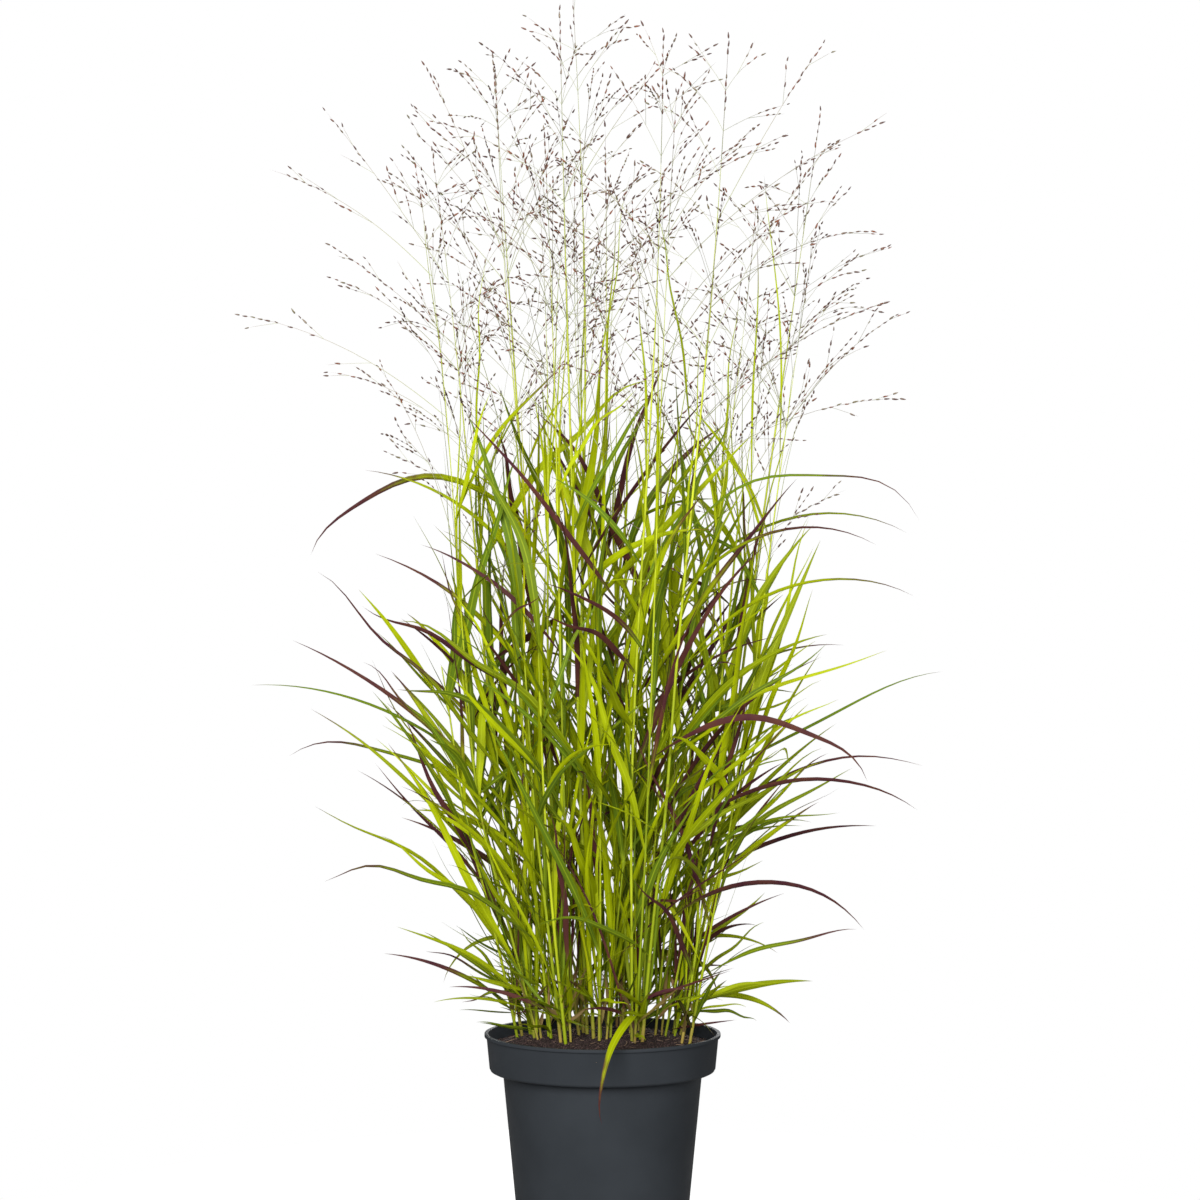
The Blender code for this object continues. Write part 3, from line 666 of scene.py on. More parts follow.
class Space:
    """What has grown so far, so that nothing new grows through it."""

    OWN_LENGTH = 0.035
    REACH = 0.015

    def __init__(self):
        self.taken = np.empty((0, 4))
        self.owner = np.empty(0, int)

    def fill(self, places, owner):
        self.taken = np.vstack([self.taken, places])
        self.owner = np.append(self.owner, np.full(len(places), owner))

    def free(self, places, owner, clearance):
        low, high = places[:, :3].min(0) - self.REACH, places[:, :3].max(0) + self.REACH
        near = ((self.taken[:, :3] > low) & (self.taken[:, :3] < high)).all(1)
        taken, owners = self.taken[near], self.owner[near]
        apart = places[:, None, :3] - taken[None, :, :3]
        gap = np.sqrt((apart ** 2).sum(2)) - places[:, None, 3] - taken[None, :, 3]
        start = np.sqrt(((places[:, :3] - places[0, :3]) ** 2).sum(1)) < self.OWN_LENGTH
        gap[start[:, None] & (owners == owner)[None, :]] = 1.0
        across = np.hypot(places[:, 0], places[:, 1])
        outside = across > LIP_RADIUS + RIM_CLEARANCE
        over_rim = places[:, 2] > POT_HEIGHT + RIM_CLEARANCE
        over_soil = places[:, 2] > SOIL_TOP + SOIL_CLEARANCE
        inside = (across < COLLAR_RADIUS - WALL - RIM_CLEARANCE) & over_soil
        return gap.min(initial=1.0) > clearance and bool((outside | over_rim | inside).all())

    def grow(self, culm, limb, clearance=CLEARANCE):
        """Keep a limb if nothing is in its way."""
        places = limb.samples()
        if not self.free(places, culm.number, clearance):
            return False
        culm.limbs.append(limb)
        self.fill(places, culm.number)
        return True


def grow_culms(rng, space):
    flowering = rng.sample(range(SHOOTS), FLOWERING_SHOOTS)
    culms = [Culm(number, number in flowering, rng) for number in range(SHOOTS)]
    for culm in culms:
        heights = np.arange(0.0, culm.height, SAMPLE_SPACING)
        places = [(*culm.at(height), culm.radius(height)) for height in heights]
        space.fill(np.array(places), culm.number)
    return culms


rng = Random(SEED)
space = Space()
culms = grow_culms(rng, space)

# Every strand of a shoot is a line of points with these values, which a node tree sweeps
# into a closed body: half its width, where along it a point is, its row and slot in the
# shoot's colour map, how yellow its green is, how red and how dry it is, from where it
# bears spikelets, and what kind of strand it is.
STRAND_VALUES = (
    "half_width", "along", "row", "slot", "slots", "green", "red", "dry", "bare", "kind",
)
ROWS = 11
STALK_ROW = 0
STALK, BLADE, TWIG = 0, 1, 2
STRAND_MARGINS = (0.03, 0.05)


class Strands:
    """All the strands of one shoot, gathered as one wire mesh."""

    def __init__(self):
        self.points = []
        self.sides = []
        self.edges = []
        self.values = {name: [] for name in STRAND_VALUES}

    def add(self, points, sides, half_widths, **values):
        first, count = len(self.points), len(points)
        self.points += [tuple(point) for point in points]
        self.sides += [tuple(side) for side in sides]
        self.edges += [(first + k, first + k + 1) for k in range(count - 1)]
        usual = {"along": np.linspace(0, 1, count), "slot": 0, "slots": 1, "dry": 0.0, "bare": 2.0}
        values = {"half_width": half_widths, **usual, **values}
        for name in STRAND_VALUES:
            self.values[name] += list(np.broadcast_to(values[name], count))

    def wire(self, name):
        made = bpy.data.meshes.new(name)
        made.from_pydata(self.points, self.edges, [])
        for key, numbers in self.values.items():
            layer = made.attributes.new(key, "FLOAT", "POINT")
            layer.data.foreach_set("value", np.array(numbers, dtype=np.float32))
        layer = made.attributes.new("side", "FLOAT_VECTOR", "POINT")
        layer.data.foreach_set("vector", np.array(self.sides, dtype=np.float32).ravel())
        return made


def named(name, kind="FLOAT"):
    """Read one of a strand's values in a geometry tree."""
    return add("GeometryNodeInputNamedAttribute", {"Name": name}, data_type=kind)


def stored(body, name, value, kind="FLOAT", domain="POINT"):
    return add("GeometryNodeStoreNamedAttribute", {
        "Geometry": body, "Name": name, "Value": value,
    }, data_type=kind, domain=domain)


def in_slot(place, margin, slot, slots):
    """Where a place from 0 to 1 comes in its slot of the colour map, clear of its edges."""
    inset = maths("MULTIPLY_ADD", place, 1 - 2 * margin, margin)
    return maths("DIVIDE", maths("ADD", inset, slot), slots)


strand_tree, given = new_tree("strand", "Geometry", {
    "Geometry": "Wire", "Float": "Kind, Thickness, Fold, Rows", "Int": "Corners",
    "Material": "Material",
}, {"Geometry": "Mesh, Curve"})
tree = strand_tree
lines = add("GeometryNodeSeparateGeometry", {
    "Geometry": given["Wire"], "Selection": maths("COMPARE", named("kind"), given["Kind"]),
}, domain="POINT")
lines = add("GeometryNodeSetCurveNormal", {
    "Curve": add("GeometryNodeMeshToCurve", {"Mesh": lines}),
    "Normal": named("side", "FLOAT_VECTOR"),
}, mode="FREE")
rim = add("GeometryNodeCurveArc", {
    "Resolution": maths("ADD", given["Corners"], 1),
    "Radius": 1.0, "Start Angle": 0.0, "Sweep Angle": math.tau,
}, mode="RADIUS")
rim = stored(rim, "across", add("GeometryNodeSplineParameter"))
corner = split(add("GeometryNodeInputPosition"))
thin = maths("MULTIPLY", corner["Y"], given["Thickness"])
fold = maths("MULTIPLY", maths("ABSOLUTE", corner["X"]), given["Fold"])
rim = add("GeometryNodeSetPosition", {
    "Geometry": rim, "Position": vector(X=corner["X"], Y=maths("ADD", thin, fold)),
})
body = swept_along(lines, rim, Scale=named("half_width"))
u = in_slot(named("along"), STRAND_MARGINS[0], named("slot"), named("slots"))
v = in_slot(named("across"), STRAND_MARGINS[1], named("row"), given["Rows"])
body = stored(body, "OFBake", vector(X=u, Y=v), "FLOAT2", "CORNER")
body = add("GeometryNodeMergeByDistance", {"Geometry": body, "Distance": MERGED_BELOW})
add("NodeGroupOutput", {"Mesh": painted(body, given["Material"]), "Curve": lines})

FIRST_JOINT = (0.03, 0.09)
LAST_JOINT = 0.05
JOINT_SPACING = (0.11, 0.19)
JOINT_STRETCH = 0.5
JOINT_SWELL = 1.10
JOINT_HALF = 0.0010
SHEATH_LENGTHS = (0.08, 0.15)
SHEATH_THICKNESS = 1.16
SHEATH_EDGE = 0.0004
SHEATH_MOUTH = 0.0012
STALK_SLIMNESS = (0.46, 0.76)
AXIS_END = 0.7
AXIS_THIN = 0.75
STALK_STEP = 0.022
STALK_CORNERS = 8
STALK_DEPTH = 0.006
STALK_TIP = 0.002
FOOT_TAN = (0.42, 0.28, 0.08)
FOOT_PINK = (0.30, 0.11, 0.07)
STALK_LIME = (0.52, 0.58, 0.020)
STALK_GREEN = (0.20, 0.26, 0.008)
STALK_PALE = (0.52, 0.56, 0.05)
STALK_HEAD = (0.33, 0.34, 0.15)
JOINT_BROWN = (0.16, 0.075, 0.020)


def stalk_strand(culm, strands, rng):
    """Sweep the stalk from inside the soil to its end, with its joints and sheaths."""
    top = culm.height
    if culm.flowers:
        top = culm.head + AXIS_END * (culm.height - culm.head)
    joints = []
    height = rng.uniform(*FIRST_JOINT)
    while height < top - LAST_JOINT:
        joints.append(height)
        height += rng.uniform(*JOINT_SPACING) * (1 + JOINT_STRETCH * height / top)
    sheaths = []
    for limb in culm.limbs:
        if limb.kind == BLADE and limb.height < culm.height:
            sheaths.append((limb.height - rng.uniform(*SHEATH_LENGTHS), limb.height))
    stops = [*np.arange(0.0, top, STALK_STEP), top]
    for joint in joints:
        stops += [joint + JOINT_HALF * off for off in (-2, -1, 1, 2)]
    for low, high in sheaths:
        stops += [high - SHEATH_EDGE, high + SHEATH_MOUTH]
    stops = sorted({round(stop, 5) for stop in stops if 0.0 <= stop <= top})
    points, widths, reds = [culm.at(0) - Vector((0, 0, STALK_DEPTH))], [0.0], [0.0]
    slim = rng.uniform(*STALK_SLIMNESS)
    for stop in stops:
        radius = culm.radius(stop) * slim
        if culm.flowers and stop > culm.head:
            radius *= 1 - AXIS_THIN * (stop - culm.head) / (top - culm.head)
        if any(low < stop <= high for low, high in sheaths):
            radius *= SHEATH_THICKNESS
        joint = any(abs(stop - joint) < JOINT_HALF * 1.5 for joint in joints)
        points.append(culm.at(stop))
        widths.append(radius * (JOINT_SWELL if joint else 1))
        reds.append(float(joint))
    points.append(culm.at(top + STALK_TIP))
    strands.add(
        points, [(1, 0, 0)] * len(points), [*widths, 0.0],
        along=[max(0.0, point.z - SOIL_EDGE) / FLOWERING_HEIGHT for point in points],
        row=STALK_ROW, green=rng.random(), red=[*reds, 0.0], kind=STALK,
    )


def surface_value(name):
    """Read one of a strand's values in a material."""
    return add("ShaderNodeAttribute", attribute_name=name).outputs["Fac"]


def ramp(value, *stops):
    """Colours at places from 0 to 1, blended smoothly."""
    made = add("ShaderNodeValToRGB", {"Fac": value})
    band = made.color_ramp
    for k, (place, colour) in enumerate(stops):
        stop = band.elements[k] if k < 2 else band.elements.new(place)
        stop.position = place
        stop.color = (*colour, 1.0)
    return made


stalk_green, tree, shader = new_material("stalk", roughness=0.5, specular=0.15)
along = surface_value("along")
hue = surface_value("green")
place = on_piece()
lime = ramp(
    along, (0.0, STALK_GREEN), (0.12, STALK_LIME), (0.45, STALK_LIME), (0.62, STALK_PALE),
    (0.80, STALK_HEAD),
)
plain = ramp(
    along, (0.0, STALK_GREEN), (0.25, STALK_GREEN), (0.5, STALK_LIME), (0.95, STALK_HEAD),
)
base = blend(hue, plain, lime)
# papery old sheaths round the foot, on the yellower stalks less
uneven = maths("ADD", along, mottled(place, 30.0, -0.02, 0.02))
papery = maths("MULTIPLY", mapped(uneven, 0.05, 0.0, 0.0, 0.9), mapped(hue, 0.75, 0.35))
base = blend(papery, base, blend(mottled(place, 45.0), FOOT_TAN, FOOT_PINK))
base = blend(mottled(place, 18.0, 0.0, 0.40), base, STALK_GREEN)
ring = maths("MULTIPLY", surface_value("red"), 0.45)
fill(shader, {"Base Color": blend(ring, base, JOINT_BROWN)})

# The blades
# Long arching leaf blades stand out from the collars of the sheaths, folded along a pale
# midrib and drawn out to hair-fine tips. They are fresh grass, and many have turned
# burgundy at the tip or all the way down.
BLADE_WIDTH = 0.0100
BLADE_FOOT = 0.45
BLADE_WIDEST = 0.3
BLADE_TAPER = 1.5
BLADE_SECTIONS = (0.0, 0.05, 0.27, 0.50, 0.75, 1.0)
LEAN_CURVE = 1.3
ROLL_CURVE = 3
SIDE_BLADES = 3
SIDE_BLADES_FLOWERING = 4
LOWEST_COLLARS = (0.03, 0.13)
HIGHEST_COLLAR = 0.56
COLLAR_SCATTER = 0.7
LOW_HEIGHT = 0.2
LOW_SHRINK = 0.3
WIDTHS = (0.7, 1.15)
TOP_SCATTER = 1.5
STALK_SCATTER = 0.9
SIDE_SCATTER = 0.6
OUTWARD_CHANCE = 0.3
OUTWARD_CHANCE_AT_EDGE = 0.7
OUTWARD_BEND = 35
TRIES = 40
TOP_BLADE = dict(length=(0.20, 0.32), lean=(2, 10), bend=(10, 60), roll=(0.5, 1.6), drift=0.3)
SIDE_BLADE = dict(length=(0.22, 0.34), lean=(14, 30), bend=(10, 50), roll=(0.4, 1.6), drift=0.4)
BLADE_REACH = (
    (0.20, 0.14), (0.30, 0.18), (0.38, 0.22), (0.46, 0.25), (0.55, 0.26),
    (0.62, 0.25), (0.70, 0.22), (0.76, 0.18), (0.82, 0.14), (0.88, 0.06),
)
HEAD_REACH = (
    (0.70, 0.16), (0.78, 0.20), (0.84, 0.23), (0.90, 0.30), (1.04, 0.31), (1.13, 0.28),
    (1.25, 0.10),
)
OUTLINE_DEPTH = 0.85
OUTLINE_ROLL = (0.9, 1.4)
OUTLINE_SCATTER = 0.3
OUTLINE_STEPS = 6
OUTLINE_START = (0.2, 0.2)
SHORTEST = 0.04
END_ROOM = 0.02

# Blades that make the outline from the front: how far across and how high the tip is, the
# length, the lean from upright at the collar and at the tip in degrees, how yellow the
# green is, how much of the blade is burgundy, and how much of the full width it has
OUTLINE_BLADES = (
    # left, from the top down
    (-0.235, 0.755, 0.24, 28, 85, 0.6, 0.2, 0.6),
    (-0.287, 0.667, 0.30, 38, 165, 0.6, 0.55, 0.8),
    (-0.277, 0.650, 0.30, 34, 52, 0.4, 0.5, 0.6),
    (-0.308, 0.588, 0.30, 38, 68, 0.4, 0.6, 0.7),
    (-0.358, 0.540, 0.29, 50, 94, 0.2, 0.1, 0.4),
    (-0.290, 0.519, 0.26, 36, 60, 0.5, 0.2, 0.55),
    (-0.323, 0.465, 0.28, 46, 112, 0.3, 0.4, 0.5),
    (-0.227, 0.463, 0.22, 36, 46, 0.4, 1.1, 0.6),
    (-0.289, 0.420, 0.28, 38, 72, 0.6, 0.1, 0.7),
    (-0.269, 0.361, 0.24, 44, 104, 0.3, 0.3, 0.7),
    (-0.200, 0.312, 0.18, 44, 76, 0.6, 0.0, 0.6),
    (-0.217, 0.277, 0.15, 52, 84, 0.4, 0.6, 0.6),
    (-0.205, 0.406, 0.17, 48, 76, 0.3, 0.75, 0.8),
    (-0.180, 0.274, 0.13, 52, 78, 0.2, 0.5, 0.6),
    (-0.160, 0.240, 0.13, 50, 168, 0.4, 0.1, 0.6),
    (-0.185, 0.225, 0.11, 64, 90, 0.9, 0.0, 0.6),
    (-0.150, 0.250, 0.08, 60, 95, 0.3, 0.9, 0.5),
    # right, from the top down
    (0.299, 0.702, 0.30, 28, 142, 0.2, 0.4, 0.4),
    (0.313, 0.697, 0.30, 34, 118, 0.4, 0.2, 0.4),
    (0.264, 0.680, 0.26, 24, 120, 0.5, 0.5, 0.45),
    (0.292, 0.630, 0.28, 36, 118, 0.6, 0.3, 0.45),
    (0.274, 0.578, 0.22, 54, 80, 0.93, 0.0, 0.5),
    (0.351, 0.550, 0.30, 56, 78, 0.2, 0.1, 0.4),
    (0.252, 0.450, 0.25, 52, 155, 0.3, 1.1, 0.8),
    (0.318, 0.467, 0.28, 48, 98, 0.4, 0.7, 0.5),
    (0.308, 0.422, 0.27, 50, 126, 0.3, 1.0, 0.6),
    (0.284, 0.393, 0.24, 56, 94, 0.3, 1.1, 0.7),
    (0.254, 0.307, 0.24, 46, 145, 0.4, 0.9, 0.7),
    (0.207, 0.252, 0.14, 66, 92, 0.5, 0.0, 1.0),
    (0.185, 0.208, 0.12, 72, 138, 0.6, 0.2, 0.8),
    (0.180, 0.336, 0.13, 50, 72, 0.2, 0.9, 0.5),
    (0.165, 0.330, 0.11, 46, 58, 0.5, 0.0, 0.7),
    (0.245, 0.306, 0.16, 60, 90, 0.3, 0.4, 0.5),
    (0.177, 0.270, 0.12, 60, 125, 0.6, 0.1, 0.6),
    (0.128, 0.256, 0.06, 70, 95, 0.1, 1.1, 0.8),
    (0.116, 0.230, 0.14, 50, 176, 0.5, 0.2, 0.9),
    (0.143, 0.185, 0.09, 60, 128, 0.2, 1.1, 0.7),
    # standing up out of the top of the foliage
    (0.059, 0.869, 0.26, 12, 20, 0.3, 1.1, 1.0),
    (0.111, 0.835, 0.26, 30, 44, 0.3, 1.0, 0.8),
    (-0.131, 0.805, 0.26, 34, 44, 0.3, 0.9, 0.7),
    (0.190, 0.746, 0.28, 30, 42, 0.6, 0.5, 0.8),
    (-0.070, 0.820, 0.26, 22, 30, 0.5, 0.6, 0.7),
)

# One blade hangs over the front of the rim
FRONT_BLADE_FOOT = (0.036, -0.055)
FRONT_BLADE_HEIGHT = 0.024
FRONT_BLADE_LENGTH = 0.172
FRONT_BLADE_LEANS = (72, 204)
FRONT_BLADE_DRIFT = -0.95
FRONT_BLADE_LOOK = (0.75, 0.35, 0.95)


class Limb:
    """A blade or a branch: points along it, with its half width and its cross direction."""

    def __init__(self, culm, height, azimuth, length, leans, size, drift=0.0, roll=0.0):
        sections, half_width, self.kind = size
        self.drawn = (culm, height, azimuth, length, leans), size, (drift, roll)
        self.height = height
        self.length = length
        self.look = None
        self.points = [culm.at(height)]
        self.widths = [half_width(0.0)]
        self.across = [heading(azimuth + math.pi / 2, math.pi / 2)]
        for low, high in zip(sections, sections[1:]):
            middle = (low + high) / 2
            lean = leans[0] + (leans[1] - leans[0]) * middle ** LEAN_CURVE
            turn = azimuth + drift * middle
            along = heading(turn, lean)
            rolled = Quaternion(along, roll * (1 - (1 - high) ** ROLL_CURVE))
            self.points.append(self.points[-1] + along * length * (high - low))
            self.widths.append(half_width(high))
            self.across.append(rolled @ heading(turn + math.pi / 2, math.pi / 2))

    def samples(self):
        """Close points along the line, with the half width at each."""
        places = []
        for k, (low, high) in enumerate(zip(self.points, self.points[1:])):
            steps = max(1, round((high - low).length / SAMPLE_SPACING))
            for j in range(steps):
                share = j / steps
                width = self.widths[k] + (self.widths[k + 1] - self.widths[k]) * share
                places.append((*low.lerp(high, share), width))
        places.append((*self.points[-1], self.widths[-1]))
        return np.array(places)

    def finer(self, count):
        """The same limb with more sections, which ends at the same tip."""
        place, (_, half_width, kind), turns = self.drawn
        size = np.linspace(0, 1, count + 1), half_width, kind
        fine = Limb(*place, size, *turns)
        off = self.points[-1] - fine.points[-1]
        for k in range(count + 1):
            fine.points[k] = fine.points[k] + off * (k / count) ** 2
        return fine


def blade_size(width=BLADE_WIDTH):
    """A blade is narrow at the collar, widest below its middle, and drawn out to the tip."""
    def half_width(share):
        rise = BLADE_FOOT + (1 - BLADE_FOOT) * min(1.0, share / BLADE_WIDEST)
        past = max(0.0, (share - BLADE_WIDEST) / (1 - BLADE_WIDEST))
        return width / 2 * rise * (1 - past ** BLADE_TAPER)
    return BLADE_SECTIONS, half_width, BLADE


def draw_limb(culm, height, azimuth, kind, size, rng, reach=1.0, droop=0.0):
    """A limb whose length, lean, bend, roll and drift are drawn from its kind's ranges."""
    length = rng.uniform(*kind["length"]) * reach
    lean = culm.lean(azimuth, height) + math.radians(rng.uniform(*kind["lean"]))
    bend = math.radians(rng.uniform(*kind["bend"]) + droop)
    drift = rng.uniform(-kind["drift"], kind["drift"])
    roll = rng.choice((-1, 1)) * rng.uniform(*kind["roll"])
    return Limb(culm, height, azimuth, length, (lean, lean + bend), size, drift, roll)


def within(limb, outline):
    """Whether a limb's tip stays inside an outline of the plant."""
    tip = limb.points[-1]
    heights, reaches = zip(*outline)
    reach = np.interp(tip.z, heights, reaches)
    return math.hypot(tip.x, tip.y / OUTLINE_DEPTH) < reach and tip.z < heights[-1]


def limb_to(tip_x, tip_z, culm, azimuth, leans, size, roll):
    """A limb from this culm to a tip, and its length, if it has a place to start from."""
    height, length = OUTLINE_START
    for step in range(OUTLINE_STEPS):
        limb = Limb(culm, height, azimuth, length, leans, size, roll=roll)
        run = (limb.points[-1] - limb.points[0]) / length
        length = (tip_x - limb.points[0].x) / run.x
        height = tip_z - length * run.z - culm.foot.z
        if length < SHORTEST or not END_ROOM < height < culm.height - END_ROOM:
            return None, 0.0
    return Limb(culm, height, azimuth, length, leans, size, roll=roll), length


def grow_outline(rows, size, rolls, culms, space, rng):
    """Put each limb of the outline on a stalk from which it has about its wanted length."""
    for tip_x, tip_z, wanted, lean, tip_lean, *look in rows:
        leans = math.radians(lean), math.radians(tip_lean)
        azimuth = rng.uniform(-OUTLINE_SCATTER, OUTLINE_SCATTER) + math.pi * (tip_x < 0)
        roll = rng.choice((-1, 1)) * rng.uniform(*rolls)
        choices = []
        for culm in culms:
            limb, length = limb_to(tip_x, tip_z, culm, azimuth, leans, size, roll)
            if limb and culm.has_room(limb.height):
                limb.look = look
                choices.append((abs(length - wanted), culm.number, culm, limb))
        for off, number, culm, limb in sorted(choices, key=lambda choice: choice[:2]):
            if space.grow(culm, limb):
                break


def grow_front_blade(culms, space):
    x, y = FRONT_BLADE_FOOT
    culm = min(culms, key=lambda culm: math.hypot(culm.foot.x - x, culm.foot.y - y))
    leans = [math.radians(lean) for lean in FRONT_BLADE_LEANS]
    limb = Limb(
        culm, FRONT_BLADE_HEIGHT, -math.pi / 2, FRONT_BLADE_LENGTH, leans, blade_size(),
        drift=FRONT_BLADE_DRIFT,
    )
    limb.look = FRONT_BLADE_LOOK
    space.grow(culm, limb)


def grow_top_blades(culms, space, rng):
    """A leafy shoot ends in its youngest blade, nearly upright."""
    for culm in culms:
        if culm.flowers:
            continue
        for attempt in range(TRIES):
            azimuth = culm.azimuth + rng.uniform(-TOP_SCATTER, TOP_SCATTER)
            limb = draw_limb(culm, culm.height, azimuth, TOP_BLADE, blade_size(), rng)
            if within(limb, BLADE_REACH) and space.grow(culm, limb):
                break


def grow_side_blades(culms, space, rng):
    """Blades up the side of each stalk, on alternate sides."""
    for culm in culms:
        wanted = SIDE_BLADES_FLOWERING if culm.flowers else SIDE_BLADES
        low = rng.uniform(*LOWEST_COLLARS)
        high = min(culm.head if culm.flowers else culm.height - COLLAR_SPACING, HIGHEST_COLLAR)
        side = culm.azimuth + rng.uniform(-STALK_SCATTER, STALK_SCATTER)
        chance = OUTWARD_CHANCE + (OUTWARD_CHANCE_AT_EDGE - OUTWARD_CHANCE) * culm.share
        missing = wanted - sum(limb.height < culm.height for limb in culm.limbs)
        for k in range(missing):
            for attempt in range(TRIES):
                step = k + rng.uniform(0.0, COLLAR_SCATTER)
                height = low + (high - low) * step / wanted
                outward = k % 2 == 0 or rng.random() < chance
                scatter = rng.uniform(-SIDE_SCATTER, SIDE_SCATTER)
                azimuth = side + math.pi * (not outward) + scatter
                reach = 1 - LOW_SHRINK * max(0.0, 1 - height / LOW_HEIGHT)
                droop = OUTWARD_BEND * culm.share * outward
                size = blade_size(BLADE_WIDTH * rng.uniform(*WIDTHS))
                limb = draw_limb(culm, height, azimuth, SIDE_BLADE, size, rng, reach, droop)
                inside = within(limb, BLADE_REACH)
                if inside and culm.has_room(height) and space.grow(culm, limb):
                    break


grow_front_blade(culms, space)
grow_outline(OUTLINE_BLADES, blade_size(), OUTLINE_ROLL, culms, space, rng)
grow_top_blades(culms, space, rng)
grow_side_blades(culms, space, rng)

BLADE_STEPS = 18
BLADE_ROWS = 8
BLADE_THICKNESS = 0.05
BLADE_FOLD = 0.22
BLADE_RIPPLE = 0.012
RIPPLES = (0.8, 2.4)
BLADE_SLIMNESS = (0.68, 1.05)
FOOT_DEPTHS = (0.019, 0.017, 0.009)
BLADE_START = 0.01
GREENS = (0.05, 0.95)
BURGUNDY_CHANCE = 0.10
RED_TIP_CHANCE = 0.30
RED_TIPS = (0.10, 0.45)
BURGUNDY_SHARES = (0.8, 1.2)


def blade_look(rng):
    """How yellow a blade's green is, its share of burgundy, and its share of full width."""
    green = rng.uniform(*GREENS)
    slim = rng.uniform(*BLADE_SLIMNESS)
    kind = rng.random()
    if kind < BURGUNDY_CHANCE:
        return green, rng.uniform(*BURGUNDY_SHARES), slim
    if kind < BURGUNDY_CHANCE + RED_TIP_CHANCE:
        return green, rng.uniform(*RED_TIPS), slim
    return green, 0.0, slim


def blade_strand(culm, limb, row, strands, rng):
    """Sweep a blade from inside its sheath to its tip."""
    fine = limb.finer(BLADE_STEPS)
    stalk = culm.radius(limb.height) * STALK_SLIMNESS[0]
    ripples = rng.uniform(*RIPPLES)
    wave = BLADE_RIPPLE * limb.length
    green, red, slim, *dry = limb.look or blade_look(rng)
    points = [culm.at(limb.height - depth) for depth in FOOT_DEPTHS]
    widths = [0.0, stalk, stalk]
    phase = rng.uniform(0, math.tau)
    for k, (point, width, side) in enumerate(zip(fine.points, fine.widths, fine.across)):
        share = k / BLADE_STEPS
        ripple = wave * share * math.sin(phase + math.tau * ripples * share)
        points.append(point + Vector((0, 0, ripple)) + side * ripple)
        widths.append(width * slim)
    sides = [fine.across[0]] * len(FOOT_DEPTHS) + fine.across
    along = [0.0] * len(FOOT_DEPTHS) + list(np.linspace(BLADE_START, 1, BLADE_STEPS + 1))
    strands.add(
        points, sides, widths, along=along, row=row, green=green, red=red,
        dry=dry[0] if dry else 0.0, kind=BLADE,
    )


BLADE_DEEP = (0.046, 0.058, 0.001)
BLADE_COOL = (0.095, 0.165, 0.010)
BLADE_MID = (0.150, 0.190, 0.001)
BLADE_LIME = (0.400, 0.470, 0.001)
BLADE_YELLOW = (0.560, 0.520, 0.004)
BLADE_PALE = (0.420, 0.500, 0.020)
BURGUNDY = (0.052, 0.014, 0.021)
BURGUNDY_BROWN = (0.105, 0.038, 0.017)
STRAW = (0.330, 0.190, 0.085)
OLD_BROWN = (0.035, 0.022, 0.012)
# painted shade on the blades low in the tuft: the heights over which it fades in, and how dark it gets
PAINTED_SHADE_BELOW = (0.50, 0.24)
PAINTED_SHADE_DARKNESS = 0.22
VEINS = 44


def rising(value, low, high, least=0.0, most=1.0):
    """A smooth rise from one value to another while the first goes from low to high."""
    return mapped(value, low, high, least, most, "SMOOTHSTEP")


blade_skin, tree, shader = new_material("blade", roughness=0.5, specular=0.07)
along, across, hue, red = [surface_value(name) for name in ("along", "across", "green", "red")]
place = on_piece()
green = ramp(
    hue, (0.0, BLADE_DEEP), (0.14, BLADE_COOL), (0.24, BLADE_COOL), (0.38, BLADE_MID),
    (0.68, BLADE_LIME), (0.92, BLADE_LIME), (1.0, BLADE_YELLOW),
)
green = blend(mottled(place, 26.0, 0.0, 0.4), green, BLADE_MID)
# painted shade: the lower a part of a blade stands, the darker its green, as if in the shade of the foliage
# above
green = blend(rising(split(place)["Z"], *PAINTED_SHADE_BELOW, 0.0, PAINTED_SHADE_DARKNESS), green, BLADE_DEEP)
# 0 in the middle of the blade and 1 at its margins, on both faces
margin = maths("ABSOLUTE", maths("SUBTRACT", maths("FRACT", maths("MULTIPLY", across, 2.0)), 0.5))
margin = maths("MULTIPLY", margin, 2.0)
# veins, a pale midrib and a pale foot
streak = maths("SINE", maths("MULTIPLY", across, VEINS * math.tau))
green = blend(maths("MULTIPLY_ADD", streak, 0.12, 0.12), green, BLADE_DEEP)
green = blend(rising(margin, 0.14, 0.03, 0.0, 0.35), green, BLADE_PALE)
green = blend(rising(along, 0.10, 0.0, 0.0, 0.5), green, BLADE_PALE)
# burgundy from the tip down, further along the margins
uneven = mottled(place, 60.0, -0.06, 0.06)
reach = maths("ADD", along, maths("MULTIPLY_ADD", margin, 0.16, uneven))
turned_red = maths("SUBTRACT", reach, maths("SUBTRACT", 1.03, red))
burgundy = blend(mottled(place, 40.0, 0.0, 0.7), BURGUNDY, BURGUNDY_BROWN)
shade = blend(rising(turned_red, -0.05, 0.22), green, burgundy)
fill(shader, {
    "Base Color": blend(surface_value("dry"), shade, blend(hue, OLD_BROWN, STRAW)),
    "Normal": bumpy(streak, 0.25, 0.0001),
})

